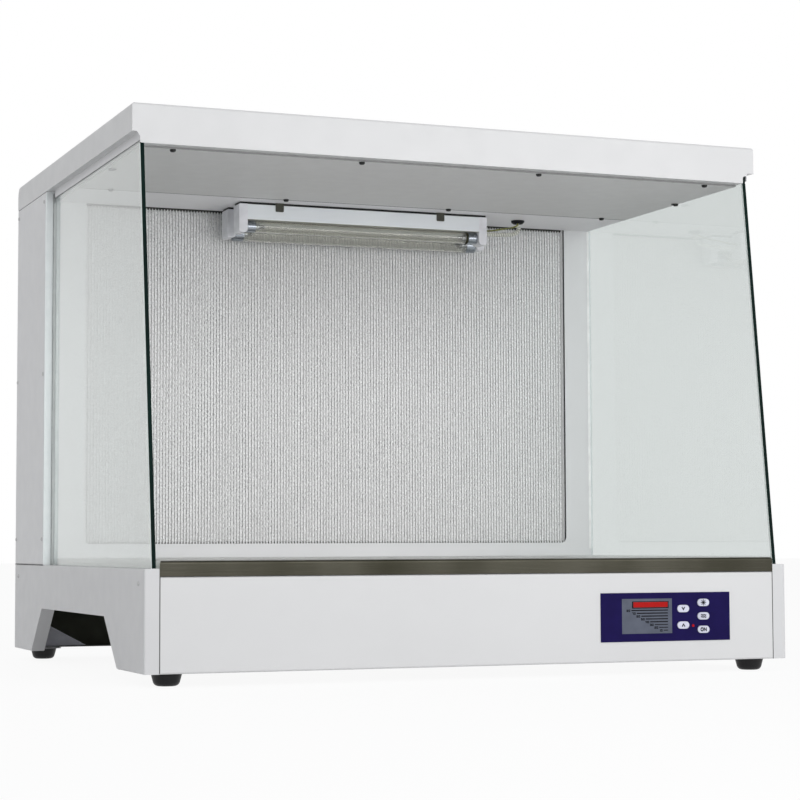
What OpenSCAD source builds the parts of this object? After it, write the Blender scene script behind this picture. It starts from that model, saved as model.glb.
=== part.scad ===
// Horizontal laminar flow hood: a bench cabinet that blows filtered air over its worktop.
// Cabinet coordinates: X across, Y back from the front face, Z up from the base's underside.
// cab() moves them to the model's frame: centred in plan, standing on its feet at Z = 0.

/* [Cabinet] */
// Overall width
width = 1040; // [900:10:1200]
// Depth from the base's front face to the back cover
depth = 886; // [860:2:960]
// Height of the base box without its feet
base_h = 148; // [140:1:170]
// Height of the roof above the underside of the base
body_h = 825; // [822:1:860]
// Thickness of the painted sheet steel
sheet = 1.5; // [1.2:0.1:2]
// Outer radius of the sheet's folds
bend_r = 3; // [2.5:0.5:4]
// Visible seam between neighbouring panels
seam = 0.4; // [0.2:0.1:0.8]

/* [Base] */
// Width of the flanges folded round each base side
side_t = 22.6; // [18:0.2:26]
// Width of the top flange that carries the worktop
ledge_w = 32; // [28:1:40]
// Height of the front panel
front_h = 136.5; // [132:0.5:137]
// Depth of the folds at the front and back panels' edges
return_w = 15; // [12:1:18]
// Front end of the side opening along its top edge
cut_top_front = 230; // [210:2:250]
// Rear end of the side opening along its top edge, from the back face
cut_top_rear = 222; // [200:2:240]
// Slope of the opening's ends, run at each end
cut_run = 80; // [40:2:100]
// Height of the side opening
cut_h = 75; // [50:1:80]
// Width of the channel rails across the base
rail_w = 30; // [25:1:36]
// Height of the channel rails
rail_h = 40; // [30:1:42]
// Wall of the channel rails
rail_t = 2; // [1.5:0.5:3]
// Distance of the middle rail's front face from the filter wall
mid_rail_in = 46; // [40:1:80]

/* [Feet] */
// Height of a rubber foot
foot_h = 18.5; // [14:0.5:25]
// Radius of a foot where it meets the base
foot_r = 22.5; // [18:0.5:25]
// Radius of a foot at the bench
foot_low_r = 19.5; // [14:0.5:20]
// Rounding of a foot's lower edge
foot_edge_r = 8; // [3:0.5:9]
// Distance of a foot's axis from the cabinet's side
foot_in = 44; // [44:1:60]
// Distance of a foot's axis from the front or back face
foot_y = 39; // [39:1:60]

/* [Worktop] */
// Height of the worktop above the underside of the base
worktop_z = 159.6; // [154:0.2:166]
// Outer radius of the worktop's folded edge
lip_bend = 5; // [3:0.5:6]
// Width of the hem under the front lip
hem_w = 12; // [8:1:14]
// Height of the strip along the worktop's rear edge
upstand_h = 12; // [6:1:20]

/* [Glass sides] */
// Thickness of the glass
glass_t = 6; // [5:0.5:8]
// Width of the painted strip outside the glass
strip_w = 13; // [11:0.5:16]
// Setback of the glass edge at the bottom
glass_low_y = 5.6; // [4:0.2:12]
// Setback of the glass edge at the canopy
glass_top_y = 81.1; // [80:0.1:90]
// Depth of glass held in the top rail
glass_grip = 12; // [8:1:14]

/* [Canopy] */
// Setback of the canopy's front face
canopy_y = 77; // [60:1:78]
// Height of the roof cover's side faces
lip_h = 42.6; // [38:0.2:46]
// Height of the front fascia
fascia_h = 59.2; // [56:0.2:64]
// Distance of the fascia's lower left corner from the cabinet's side
notch_left = 12; // [10:0.5:20]
// Distance of the fascia's lower right corner from the cabinet's side
notch_right = 20; // [10:0.5:20]
// Radius of the roof's rear fold
roof_r = 20; // [10:1:30]
// Radius of the roof's other folds
edge_r = 4.5; // [3:0.5:6]
// Depth of the fold under the fascia
fascia_return = 30; // [28:1:40]
// Thickness of the ceiling panels
ceiling_t = 3; // [2:0.5:4]
// Front edge of the ceiling panel
ceiling_y = 96; // [90:1:98]
// Depth of the lamp panel in front of the filter wall
lamp_panel_d = 152; // [130:1:160]
// Open seam between the ceiling panel and the lamp panel
ceiling_seam = 1.4; // [1:0.1:2]

/* [Screws] */
// Head radius of the ceiling screws
screw_head_r = 4; // [3:0.5:5]
// Head height of the ceiling screws
screw_head_h = 2.2; // [1.5:0.1:3]
// Distance of the outer screws from the cabinet's sides
screw_in = 73; // [65:1:120]
// How far the front row of screws sits to the left of the rear one
screw_shift = 5.5; // [0:0.5:8]

/* [Plenum] */
// Distance of the plenum's side panels from the back face
plenum_d = 229; // [220:1:235]
// Distance of the filter wall's front face from the back face
wall_in = 250; // [246:1:256]
// Depth of the folds round the filter wall
wall_return = 24; // [22:1:30]
// Rounding of the filter window's corners
window_r = 10; // [4:1:16]

/* [Filter] */
// Distance of the filter from the cabinet's sides
filter_side = 62.5; // [60:0.5:80]
// Distance of the filter's top from the roof
filter_drop = 39.5; // [38:0.5:45]
// Depth of the filter
filter_d = 80; // [69:1:85]
// Wall of the filter's aluminium frame
frame_t = 10; // [6:1:16]
// Height of the filter's underside above the base's underside
filter_z = 175.5; // [172:0.5:178]
// Thickness of the pressed gasket
gasket_t = 5; // [3:0.5:8]
// Width of the gasket
gasket_w = 7.5; // [6:0.5:10]
// Number of pleats across the filter
pleat_count = 168; // [80:1:180]
// Depth of the pleated pack
pack_d = 50; // [30:1:60]
// Thickness of the folded paper along the air path
paper_run = 12; // [8:1:16]
// Radius of the clamp studs
stud_r = 4; // [3:0.5:5]

/* [Fan] */
// Height of the fan's axis above the base's underside
fan_z = 430; // [380:5:500]
// Tip radius of the impeller
fan_r = 140; // [120:1:150]
// Radius of the throat that the impeller draws from
throat_r = 72; // [60:1:80]
// Number of impeller blades
blade_count = 9; // [7:1:11]
// Thickness of a blade
blade_t = 2; // [1.5:0.1:3]
// Curvature radius of a blade
blade_curve_r = 95; // [90:1:110]
// Outer radius of the rotor cup
rotor_r = 48; // [42:1:52]
// Radius of the motor shaft
shaft_r = 5; // [4:0.5:6]
// Radial clearance of the shaft in its bearing
shaft_gap = 0.05; // [0.02:0.01:0.09]
// Half the spacing of the fan's standoffs
standoff_x = 125; // [115:1:135]
// Radius of a standoff
standoff_r = 6; // [5:0.5:8]

/* [Intake] */
// Width and height of the pre-filter opening in the back cover
intake_w = 380; // [340:2:400]
// Thickness of the pre-filter pad
pad_t = 20; // [15:1:25]
// Distance of the fan plate from the back face
fan_plate_in = 31; // [28:1:34]
// Margin of the grille round the opening
grille_margin = 20; // [15:1:30]
// How far the grille and the power inlet stand out at the back
back_proud = 2.5; // [2:0.1:4]
// Distance of the power inlet from the cabinet's left side
inlet_side = 120; // [100:1:160]
// Number of slots in the grille
slot_count = 14; // [8:1:18]
// Height of a slot
slot_h = 12; // [8:1:14]

/* [Lamps] */
// Length of the sterilising lamp over its holders
uv_len = 459.5; // [400:0.5:480]
// Length of the light over its holders
light_len = 484.5; // [400:0.5:490]
// Distance of the lamps' left ends from the cabinet's left side
lamp_left = 302.5; // [290:0.5:320]
// Distance of the sterilising lamp's front face from the filter wall
uv_in = 114; // [100:1:120]
// Distance of the light's front face from the filter wall
light_in = 46; // [36:1:60]
// Depth of a batten
batten_d = 32; // [26:1:34]
// Height of a batten
batten_h = 26.4; // [24:0.2:34]
// Gap between a batten and the ceiling
batten_gap = 3.2; // [2:0.1:4]
// Width of a lampholder
holder_w = 15; // [12:1:20]
// How far a lampholder reaches below its batten
holder_drop = 22.7; // [18:0.1:26]
// Radius of the sterilising lamp's tube
uv_r = 10; // [8:0.5:13]
// Radius of the light's tube
light_r = 13; // [8:0.5:13]
// Wall of the clear tube
tube_wall = 1; // [0.8:0.1:1.5]
// Length of a tube's metal cap
tube_cap_len = 17; // [10:1:20]
// Thickness of the spring clips
clip_t = 1.5; // [1:0.1:2]
// Width of the spring clips
clip_w = 14.5; // [10:0.5:20]
// Distance of the cable grommet from the cabinet's right side
grommet_side = 200.5; // [190:0.5:220]
// Distance of the cable grommet from the filter wall
grommet_in = 77; // [70:1:85]
// Radius of the cable grommet
grommet_r = 12; // [10:0.5:14]

/* [Controls] */
// Width of the keypad overlay
overlay_w = 224.6; // [200:0.2:240]
// Height of the keypad overlay
overlay_h = 74.5; // [68:0.5:76]
// Distance of the overlay from the cabinet's right side
overlay_side = 101.4; // [90:0.2:140]
// Lower edge of the overlay above the base's underside
overlay_z = 31; // [26:0.5:34]
// Thickness of the overlay
overlay_t = 1; // [0.8:0.1:1.5]
// Margin of the overlay round the panel's cut-out
overlay_margin = 6; // [4:0.5:8]
// How far a key stands out of the overlay
key_rise = 1.5; // [1:0.1:2]
// Width of a key
key_w = 20.4; // [18:0.2:24]
// Height of a key
key_h = 11; // [10:0.1:14]
// Clearance round a key
key_gap = 0.4; // [0.3:0.1:0.6]
// Travel of a key
key_travel = 0.8; // [0.5:0.1:1.2]
// Distance of the arrow keys from the overlay's left edge
arrow_x = 141.8; // [138:0.2:146]
// Distance of the right-hand keys from the overlay's left edge
switch_x = 177.3; // [174:0.1:184]
// Width of the display window
window_w = 86.5; // [70:0.5:90]
// Height of the display window
window_h = 53.3; // [40:0.1:54]
// Distance of the display window from the overlay's left edge
window_x = 36.2; // [20:0.2:38]
// Distance of the display window from the overlay's top edge
window_drop = 9.1; // [8:0.1:10]

/* [Hidden] */
$fn = 48;

hw = width / 2;
front_proud = overlay_t + key_rise;
origin_y = -(depth + back_proud - front_proud) / 2;
lid_z = body_h - lip_h;
fascia_z = body_h - fascia_h;
ceiling_z = fascia_z - ceiling_t;
glass_out = hw - strip_w;
glass_in = glass_out - glass_t;
front_hw = hw - side_t - seam;
rail_z = base_h - sheet - rail_h;
wall_y = depth - wall_in;
plenum_y = depth - plenum_d;
mid_rail_y = wall_y - mid_rail_in;
ceiling_seam_y = wall_y - lamp_panel_d;
uv_y = wall_y - uv_in;
light_y = wall_y - light_in;
overlay_x = hw - overlay_side - overlay_w;
grommet_x = hw - grommet_side;
screw_x = hw - screw_in;
grommet_y = wall_y - grommet_in;
// The glass rail: a slot over the glass and a foot over the ceiling panel. Its outer lip is shorter.
rail_gap = 0.2;
rail_lip = 3.5;
rail_lip_up = 4;
rail_foot_w = 23;
rail_foot_h = 2;
rail_in = glass_in - rail_lip;
rail_foot_in = glass_in - rail_foot_w;
// The filter and what holds it.
filter_w = width - 2 * filter_side;
filter_h = body_h - filter_drop - filter_z;
wall_rim = 4.5;
window_top = filter_z + filter_h - gasket_w;
window_low = filter_z + gasket_w;
window_hw = filter_w / 2 - gasket_w;
filter_front = wall_y + sheet + gasket_t;
filter_back = filter_front + filter_d;
wall_top = filter_z + filter_h + wall_rim;
pack_hw = filter_w / 2 - frame_t;
pack_in = 3;
// The fan, from the fan plate forwards.
fan_plate_y = depth - fan_plate_in;
ring_len = 28;
ring_t = 2;
ring_y = fan_plate_y + sheet - ring_len;
flare_r = 16;
ring_overlap = 4;
eye_gap = 2;
eye_r = throat_r + ring_t + eye_gap;
shroud_y = ring_y + ring_overlap;
shroud_drop = 20;
disc_t = 3;
bracket_gap = 9;
bracket_t = 3;
bracket_y = filter_back + bracket_gap;
disc_gap = 12;
fan_back_y = bracket_y + bracket_t + disc_gap;
cup_len = 40;
// The lamps, hung under the lamp panel: front face, length and tube radius of each.
lamps = [[uv_y, uv_len, uv_r], [light_y, light_len, light_r]];
lamp_x0 = -hw + lamp_left;
batten_top = ceiling_z - batten_gap;
batten_low = batten_top - batten_h;
holder_low = batten_low - holder_drop;
tube_gap = 0.3;
// The keypad: places of the keys as [distance from the left edge, drop from the top edge].
down_at = [arrow_x, 25];
up_at = [arrow_x, 50.4];
lamp_at = [switch_x, 16];
uv_at = [switch_x, 36.8];
power_at = [switch_x, 57.5];
led_at = [159.6, 51.5];
led_r = 2;
keys_at = [down_at, up_at, lamp_at, uv_at, power_at];
overlay_top = overlay_z + overlay_h;
housing_wall = 2.5;
key_flange_t = 1.2;
key_flange_rim = 1.5;
key_flange_y = housing_wall + 0.3;
board_y = key_flange_y + key_flange_t + key_travel + 1.2;
board_t = 1.6;

module cab() translate([0, origin_y, foot_h]) children();
module along_x(x0, x1) translate([x0, 0, 0]) rotate([90, 0, 90]) linear_extrude(x1 - x0) children();
module along_y(y0, y1) translate([0, y1, 0]) rotate([90, 0, 0]) linear_extrude(y1 - y0) children();
module along_z(z0, z1) translate([0, 0, z0]) linear_extrude(z1 - z0) children();
module about_y(y) translate([0, y, fan_z]) rotate([-90, 0, 0]) children();
module box(lo, hi) translate(lo) cube(hi - lo);

// Rectangle with corner radii [lower left, lower right, upper right, upper left].
module rounded(lo, hi, r) {
    corners = [
        [lo, [1, 1], r[0]], [[hi[0], lo[1]], [-1, 1], r[1]],
        [hi, [-1, -1], r[2]], [[lo[0], hi[1]], [1, -1], r[3]]
    ];
    difference() {
        translate(lo) square(hi - lo);
        for (k = corners) if (k[2] > 0) translate(k[0]) square(2 * k[2], center = true);
    }
    for (k = corners) if (k[2] > 0) translate(k[0] + k[1] * k[2]) circle(k[2]);
}

// Pan with its skin on the cabinet's right side and flanges folded inwards all round.
module side_pan(y0, y1, z0, z1, flange) {
    difference() {
        intersection() {
            along_z(z0, z1) rounded([hw - flange, y0], [hw, y1], [0, bend_r, bend_r, 0]);
            along_y(y0, y1) rounded([hw - flange, z0], [hw, z1], [0, bend_r, bend_r, 0]);
        }
        box([hw - flange - 1, y0 + sheet, z0 + sheet], [hw - sheet, y1 - sheet, z1 - sheet]);
    }
}

// Outline of the base's side opening, grown by g on its sloping and upper edges.
module opening_outline(g) {
    slope = norm([cut_run, cut_h]) / cut_h * g;
    run = cut_run / cut_h;
    back = depth - cut_top_rear;
    polygon([
        [cut_top_front - cut_run - slope - run, -1], [back + cut_run + slope + run, -1],
        [back + slope - run * g, cut_h + g], [cut_top_front - slope + run * g, cut_h + g]
    ]);
}

module base_side() {
    gusset_x = hw - foot_in - foot_r - 3;
    gusset_y = foot_y + foot_r + 3;
    difference() {
        union() {
            side_pan(0, depth, 0, base_h, side_t);
            box([hw - ledge_w, 20, base_h - sheet], [hw - side_t, depth - 20, base_h]);
            intersection() {
                along_x(hw - side_t, hw - sheet) opening_outline(sheet);
                box([0, 0, 0], [width, depth, base_h]);
            }
            box([gusset_x, return_w, 0], [hw - side_t, gusset_y, sheet]);
            box([gusset_x, depth - gusset_y, 0], [hw - side_t, depth - return_w, sheet]);
        }
        along_x(hw - side_t - 1, hw + 1) opening_outline(0);
    }
}
module base_side_right() color("gainsboro") cab() base_side();
module base_side_left() color("gainsboro") cab() mirror([1, 0, 0]) base_side();

// Channel profile folded from one sheet, open towards the back.
module panel_profile(h) {
    difference() {
        rounded([0, 0], [return_w, h], [bend_r, 0, 0, bend_r]);
        translate([sheet, sheet]) square([return_w, h - 2 * sheet]);
    }
}
module base_front_panel() color("whitesmoke") cab() {
    margin = overlay_margin;
    difference() {
        along_x(-front_hw, front_hw) panel_profile(front_h);
        box([overlay_x + margin, -1, overlay_z + margin],
            [overlay_x + overlay_w - margin, sheet + 1, overlay_top - margin]);
    }
}
inlet_x = -hw + inlet_side;
inlet_z = 70;
inlet_w = 27;
inlet_h = 20;
module base_back_panel() color("gainsboro") cab() {
    difference() {
        translate([0, depth, 0]) mirror([0, 1, 0]) along_x(-front_hw, front_hw) panel_profile(base_h);
        translate([inlet_x, depth, inlet_z]) cube([inlet_w, 4 * sheet, inlet_h], center = true);
    }
}

// Channel rail between the two base sides, open downwards.
module cross_rail(y0) color("silver") cab() {
    difference() {
        box([-hw + sheet, y0, rail_z], [hw - sheet, y0 + rail_w, base_h - sheet]);
        box([-hw, y0 + rail_t, rail_z - 1], [hw, y0 + rail_w - rail_t, base_h - sheet - rail_t]);
    }
}
module cross_rail_front() cross_rail(return_w);
module cross_rail_middle() cross_rail(mid_rail_y);
module cross_rail_rear() cross_rail(depth - return_w - rail_w);

// Tapered rubber foot with a rounded lower edge and a recess for its screw.
module foot(x, y) color([0.1, 0.1, 0.1]) translate([x, y + origin_y, 0]) {
    lean = atan((foot_r - foot_low_r) / foot_h);
    arc = [for (a = [-90 : 15 : -lean]) [
        foot_low_r - foot_edge_r + foot_edge_r * cos(a), foot_edge_r + foot_edge_r * sin(a)]];
    screw_r = 6;
    screw_deep = 8;
    difference() {
        rotate_extrude() polygon(concat([[0, 0]], arc, [[foot_r, foot_h], [0, foot_h]]));
        translate([0, 0, -1]) cylinder(r = screw_r, h = screw_deep + 1);
    }
}
module foot_front_left() foot(-hw + foot_in, foot_y);
module foot_front_right() foot(hw - foot_in, foot_y);
module foot_rear_left() foot(-hw + foot_in, depth - foot_y);
module foot_rear_right() foot(hw - foot_in, depth - foot_y);

// Stainless worktop: a tray turned over, with a deeper front lip and a hem under it.
lip_z = front_h + 0.5;
module tray(inset, y1) {
    intersection() {
        along_x(-front_hw + inset, front_hw - inset)
            rounded([inset, lip_z - inset], [y1, worktop_z - inset], [0, 0, 0, lip_bend - inset]);
        along_y(inset, y1)
            rounded([-front_hw + inset, lip_z - inset], [front_hw - inset, worktop_z - inset],
                [0, 0, lip_bend - inset, lip_bend - inset]);
    }
}
module worktop() color([0.6, 0.6, 0.58]) cab() {
    difference() {
        tray(0, wall_y - sheet);
        tray(sheet, wall_y + sheet);
        box([-hw, sheet, 0], [hw, depth, base_h]);
    }
    box([-front_hw, 0, lip_z], [front_hw, hem_w, lip_z + sheet]);
}
module worktop_upstand() color([0.65, 0.65, 0.63]) cab()
    box([-front_hw, wall_y - sheet, worktop_z - sheet], [front_hw, wall_y, worktop_z + upstand_h]);
module worktop_stiffeners() color("silver") cab() {
    end = hw - ledge_w - 1;
    inset = 5;
    for (y = [return_w, mid_rail_y]) difference() {
        box([-end, y + inset, base_h - sheet], [end, y + rail_w - inset, worktop_z - sheet]);
        box([-hw, y + inset + sheet, 0], [hw, y + rail_w - inset - sheet, worktop_z - 2 * sheet]);
    }
}

// Keypad: overlay on the panel's face, housing and switch board behind it.
module at_key(k) translate([overlay_x + k[0], 0, overlay_top - k[1]]) children();
module key_outline(g) {
    r = key_h / 2;
    for (s = [-1, 1]) translate([s * (key_w / 2 - r), 0]) circle(r + g);
    square([key_w - key_h, key_h + 2 * g], center = true);
}
module key_holes(y0, y1) {
    for (k = keys_at) at_key(k) along_y(y0, y1) key_outline(key_gap);
    at_key(led_at) along_y(y0, y1) circle(led_r + seam);
}
window_lo = [overlay_x + window_x, overlay_top - window_drop - window_h];
module keypad_overlay() color([0.12, 0.08, 0.31]) cab() {
    difference() {
        box([overlay_x, -overlay_t, overlay_z], [overlay_x + overlay_w, 0, overlay_top]);
        key_holes(-2 * overlay_t, overlay_t);
        along_y(-2 * overlay_t, overlay_t) translate(window_lo) square([window_w, window_h]);
    }
}
module display_window() color([0.47, 0.48, 0.54]) cab()
    along_y(-overlay_t, 0) translate(window_lo) square([window_w, window_h]);
housing_gap = 0.25;
housing_lo = [overlay_x + overlay_margin + housing_gap, overlay_z + overlay_margin + housing_gap];
housing_hi = [overlay_x + overlay_w - overlay_margin - housing_gap,
    overlay_top - overlay_margin - housing_gap];
module control_housing() color([0.25, 0.25, 0.27]) cab() {
    housing_d = 26;
    flange = [3, 3];
    difference() {
        union() {
            along_y(0, housing_d) translate(housing_lo) square(housing_hi - housing_lo);
            along_y(sheet, housing_wall)
                translate(housing_lo - flange) square(housing_hi - housing_lo + 2 * flange);
        }
        box([housing_lo[0] + sheet, housing_wall, housing_lo[1] + sheet],
            [housing_hi[0] - sheet, housing_d - sheet, housing_hi[1] - sheet]);
        key_holes(-1, housing_wall + 1);
    }
}
module control_board() color([0.1, 0.4, 0.2]) cab() {
    dome = 6;
    dome_y = key_flange_y + key_flange_t + key_travel + 0.3;
    box([housing_lo[0] + sheet, board_y, housing_lo[1] + sheet],
        [housing_hi[0] - sheet, board_y + board_t, housing_hi[1] - sheet]);
    for (k = keys_at) at_key(k) along_y(dome_y, board_y) circle(dome / 2);
}
module power_led() color([0.8, 0.1, 0.1]) cab() at_key(led_at)
    along_y(-overlay_t - seam, board_y) circle(led_r);
module key(at) color([0.85, 0.85, 0.92]) cab() at_key(at) {
    along_y(-overlay_t - key_rise, key_flange_y) key_outline(0);
    along_y(key_flange_y, key_flange_y + key_flange_t) key_outline(key_flange_rim);
}
module key_down() key(down_at);
module key_up() key(up_at);
module key_lamp() key(lamp_at);
module key_uv() key(uv_at);
module key_power() key(power_at);

// Glass side with its sloping front edge, standing on the base and held in a top rail.
module glass_side() {
    top = fascia_z + glass_grip;
    along_x(glass_in, glass_out) polygon([
        [glass_low_y, base_h], [plenum_y, base_h], [plenum_y, top], [glass_top_y + 1, top],
        [glass_top_y + 1, fascia_z], [glass_top_y, fascia_z]
    ]);
}
module glass_right() color([0.75, 0.85, 0.83, 0.3]) cab() glass_side();
module glass_left() color([0.75, 0.85, 0.83, 0.3]) cab() mirror([1, 0, 0]) glass_side();
module glass_rail() {
    y0 = canopy_y + sheet;
    difference() {
        union() {
            box([rail_in, y0, fascia_z], [glass_out + sheet, wall_y, lid_z]);
            box([rail_foot_in, y0, fascia_z], [rail_in, wall_y, fascia_z + rail_foot_h]);
        }
        box([glass_in - rail_gap, y0 - 1, fascia_z - 1],
            [glass_out + rail_gap, wall_y + 1, fascia_z + glass_grip]);
        box([glass_in, y0 - 1, fascia_z - 1], [width, wall_y + 1, fascia_z + rail_lip_up]);
    }
}
module glass_rail_right() color("gainsboro") cab() glass_rail();
module glass_rail_left() color("gainsboro") cab() mirror([1, 0, 0]) glass_rail();

// Roof cover: a shallow lid whose fascia hangs lower at the front, notched at its ends.
module roof_block(inset, low) {
    intersection() {
        along_x(-hw + inset, hw - inset)
            rounded([canopy_y + inset, low], [depth - inset, body_h - inset],
                [0, 0, roof_r - inset, edge_r - inset]);
        along_y(canopy_y, depth)
            rounded([-hw + inset, low], [hw - inset, body_h - inset],
                [0, 0, edge_r - inset, edge_r - inset]);
    }
}
module roof_cover() color("whitesmoke") cab() {
    shoulder_z = fascia_z + 9;
    flare = 5;
    notch_r = 2;
    left = -hw + notch_left;
    right = hw - notch_right;
    return_x = glass_in + 0.5;
    difference() {
        roof_block(0, lid_z);
        roof_block(sheet, lid_z - 1);
    }
    along_y(canopy_y, canopy_y + sheet) {
        rounded([left, fascia_z], [right, lid_z + sheet], [notch_r, notch_r, 0, 0]);
        polygon([
            [left, shoulder_z], [right, shoulder_z], [right + flare, lid_z - notch_r],
            [right + 2 * flare, lid_z], [left - flare, lid_z]
        ]);
    }
    box([-rail_foot_in, canopy_y, fascia_z], [rail_foot_in, canopy_y + fascia_return, fascia_z + sheet]);
    for (s = [0, 1]) mirror([s, 0, 0])
        box([return_x, canopy_y, lid_z], [hw, depth, lid_z + sheet]);
}

// Flat ceiling in two panels, screwed up to the fascia's fold and the glass rails.
module ceiling_panel() color("gainsboro") cab()
    box([-rail_in, ceiling_y, ceiling_z], [rail_in, ceiling_seam_y - ceiling_seam, fascia_z]);
module lamp_panel() color("gainsboro") cab() difference() {
    box([-rail_in, ceiling_seam_y, ceiling_z], [rail_in, wall_y, fascia_z]);
    translate([grommet_x, grommet_y, ceiling_z])
        cylinder(r = grommet_neck_r + seam, h = 3 * ceiling_t, center = true);
}
module ceiling_screws() color("dimgray") cab() {
    front_y = ceiling_y + 4;
    rear_y = ceiling_seam_y - 7;
    side_x = rail_in - 8.5;
    for (x = [-screw_x : 2 / 3 * screw_x : screw_x]) {
        screw_head(x - screw_shift, front_y);
        screw_head(x, rear_y);
    }
    for (x = [-side_x, side_x]) screw_head(x, (front_y + rear_y) / 2);
}
// Domed screw head with a cross recess, hanging under the ceiling.
module screw_head(x, y) translate([x, y, ceiling_z - screw_head_h]) {
    slot = 0.8;
    slot_len = 1.2 * screw_head_r;
    difference() {
        rotate_extrude() rounded([0, 0], [screw_head_r, screw_head_h], [0, screw_head_h / 2, 0, 0]);
        for (a = [0, 90]) rotate(a)
            translate([-slot_len / 2, -slot / 2, -1]) cube([slot_len, slot, 1 + screw_head_h / 2]);
    }
}

// Plenum box behind the work space.
module plenum_side_right() color("gainsboro") cab()
    side_pan(plenum_y, depth, base_h, lid_z, strip_w + glass_t);
module plenum_side_left() color("gainsboro") cab() mirror([1, 0, 0])
    side_pan(plenum_y, depth, base_h, lid_z, strip_w + glass_t);
module plenum_floor() color("gainsboro") cab()
    box([-glass_in, wall_y + wall_return, base_h], [glass_in, depth - sheet, base_h + sheet]);
module back_cover() color("gainsboro") cab() {
    fold = 12;
    half = intake_w / 2;
    difference() {
        box([-glass_in, depth - fold, base_h + sheet], [glass_in, depth, lid_z]);
        box([-glass_in + sheet, 0, 0], [glass_in - sheet, depth - sheet, body_h]);
        along_y(depth - 2 * sheet, depth + 1)
            rounded([-half, fan_z - half], [half, fan_z + half], [1, 1, 1, 1] * window_r);
    }
    box([-glass_in, depth - sheet, base_h], [glass_in, depth, base_h + sheet]);
}

// Filter wall with a rounded window, folded back at its sides and foot.
module filter_wall() color("whitesmoke") cab() {
    difference() {
        box([-glass_in, wall_y, base_h], [glass_in, wall_y + wall_return, wall_top]);
        box([-glass_in + sheet, wall_y + sheet, base_h + sheet],
            [glass_in - sheet, wall_y + wall_return + 1, wall_top + 1]);
        along_y(wall_y - 1, wall_y + 2 * sheet)
            rounded([-window_hw, window_low], [window_hw, window_top], [1, 1, 1, 1] * window_r);
    }
}

// Filter: gasket, aluminium frame and the paper folded into deep pleats.
module filter_ring(y0, y1, rim) difference() {
    box([-filter_w / 2, y0, filter_z], [filter_w / 2, y1, filter_z + filter_h]);
    box([-filter_w / 2 + rim, y0 - 1, filter_z + rim],
        [filter_w / 2 - rim, y1 + 1, filter_z + filter_h - rim]);
}
module filter_gasket() color([0.2, 0.2, 0.2]) cab()
    filter_ring(wall_y + sheet, filter_front, gasket_w);
module filter_frame() color([0.75, 0.75, 0.75]) cab()
    filter_ring(filter_front, filter_back, frame_t);
module filter_pack() color("white") cab() {
    pitch = 2 * pack_hw / pleat_count;
    front = filter_front + pack_in;
    fold = pack_d - paper_run;
    path = [for (i = [0 : 2 * pleat_count]) [-pack_hw + i * pitch / 2, front + (i % 2) * fold]];
    last = len(path) - 1;
    rear = [for (i = [0 : last]) path[last - i] + [0, paper_run]];
    along_z(filter_z + frame_t, filter_z + filter_h - frame_t) polygon(concat(path, rear));
}
// Stud and bar clamps that press the filter on its gasket.
module filter_clamps() color("silver") cab() {
    stud_x = filter_w / 2 + 14;
    bar_in = filter_w / 2 - frame_t;
    bar_h = 20;
    bar_t = 3;
    nut_r = 6.5;
    nut_t = 6;
    clamp_in = 60;
    for (s = [0, 1]) mirror([s, 0, 0]) for (z = [filter_z + clamp_in, filter_z + filter_h - clamp_in]) {
        translate([stud_x, 0, z]) along_y(wall_y + sheet, filter_back + bar_t + 1.5 * nut_t) circle(stud_r);
        box([bar_in, filter_back, z - bar_h / 2], [stud_x + bar_h / 2, filter_back + bar_t, z + bar_h / 2]);
        translate([stud_x, 0, z])
            along_y(filter_back + bar_t, filter_back + bar_t + nut_t) circle(nut_r, $fn = 6);
    }
}
// Two angle brackets on the filter wall's foot that carry the filter's weight.
module filter_shelf() color("silver") cab() {
    shelf_x = filter_w / 4;
    shelf_w = 40;
    for (s = [-1, 1]) difference() {
        box([s * shelf_x - shelf_w / 2, wall_y + wall_return, base_h + sheet],
            [s * shelf_x + shelf_w / 2, filter_back - 6, filter_z]);
        box([s * shelf_x - shelf_w, wall_y + wall_return + sheet, base_h + 2 * sheet],
            [s * shelf_x + shelf_w, filter_back, filter_z - sheet]);
    }
}

// Intake: box on the back cover whose inner plate carries the inlet ring.
module intake_box() color("silver") cab() {
    inner = intake_w / 2 + 1;
    flange = 12;
    difference() {
        union() {
            box([-inner - sheet, fan_plate_y, fan_z - inner - sheet],
                [inner + sheet, depth - sheet, fan_z + inner + sheet]);
            box([-inner - flange, depth - 2 * sheet, fan_z - inner - flange],
                [inner + flange, depth - sheet, fan_z + inner + flange]);
        }
        box([-inner, fan_plate_y + sheet, fan_z - inner], [inner, depth, fan_z + inner]);
        about_y(fan_plate_y - 1) cylinder(r = throat_r + flare_r + 2, h = 2 * sheet + 2);
    }
}
// Bell mouth: straight throat, quarter-round flare and mounting flange.
module inlet_ring() color("silver") cab() about_y(ring_y) rotate_extrude() {
    flare_h = ring_len + ring_t - flare_r;
    flare_c = [throat_r + flare_r, flare_h];
    flange_w = 22;
    translate([throat_r, 0]) square([ring_t, flare_h]);
    intersection() {
        translate(flare_c) difference() {
            circle(flare_r);
            circle(flare_r - ring_t);
        }
        translate([throat_r, flare_h]) square(flare_r);
    }
    translate([flare_c[0], ring_len]) square([flange_w, ring_t]);
}
module blade() {
    lean = 42;
    intersection() {
        translate([blade_curve_r * cos(lean), -blade_curve_r * sin(lean)]) translate([rotor_r, 0])
            difference() {
                circle(blade_curve_r);
                circle(blade_curve_r - blade_t);
            }
        difference() {
            circle(fan_r - 1);
            circle(rotor_r + 12);
        }
        translate([0, -blade_t]) square(fan_r);
    }
}
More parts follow.
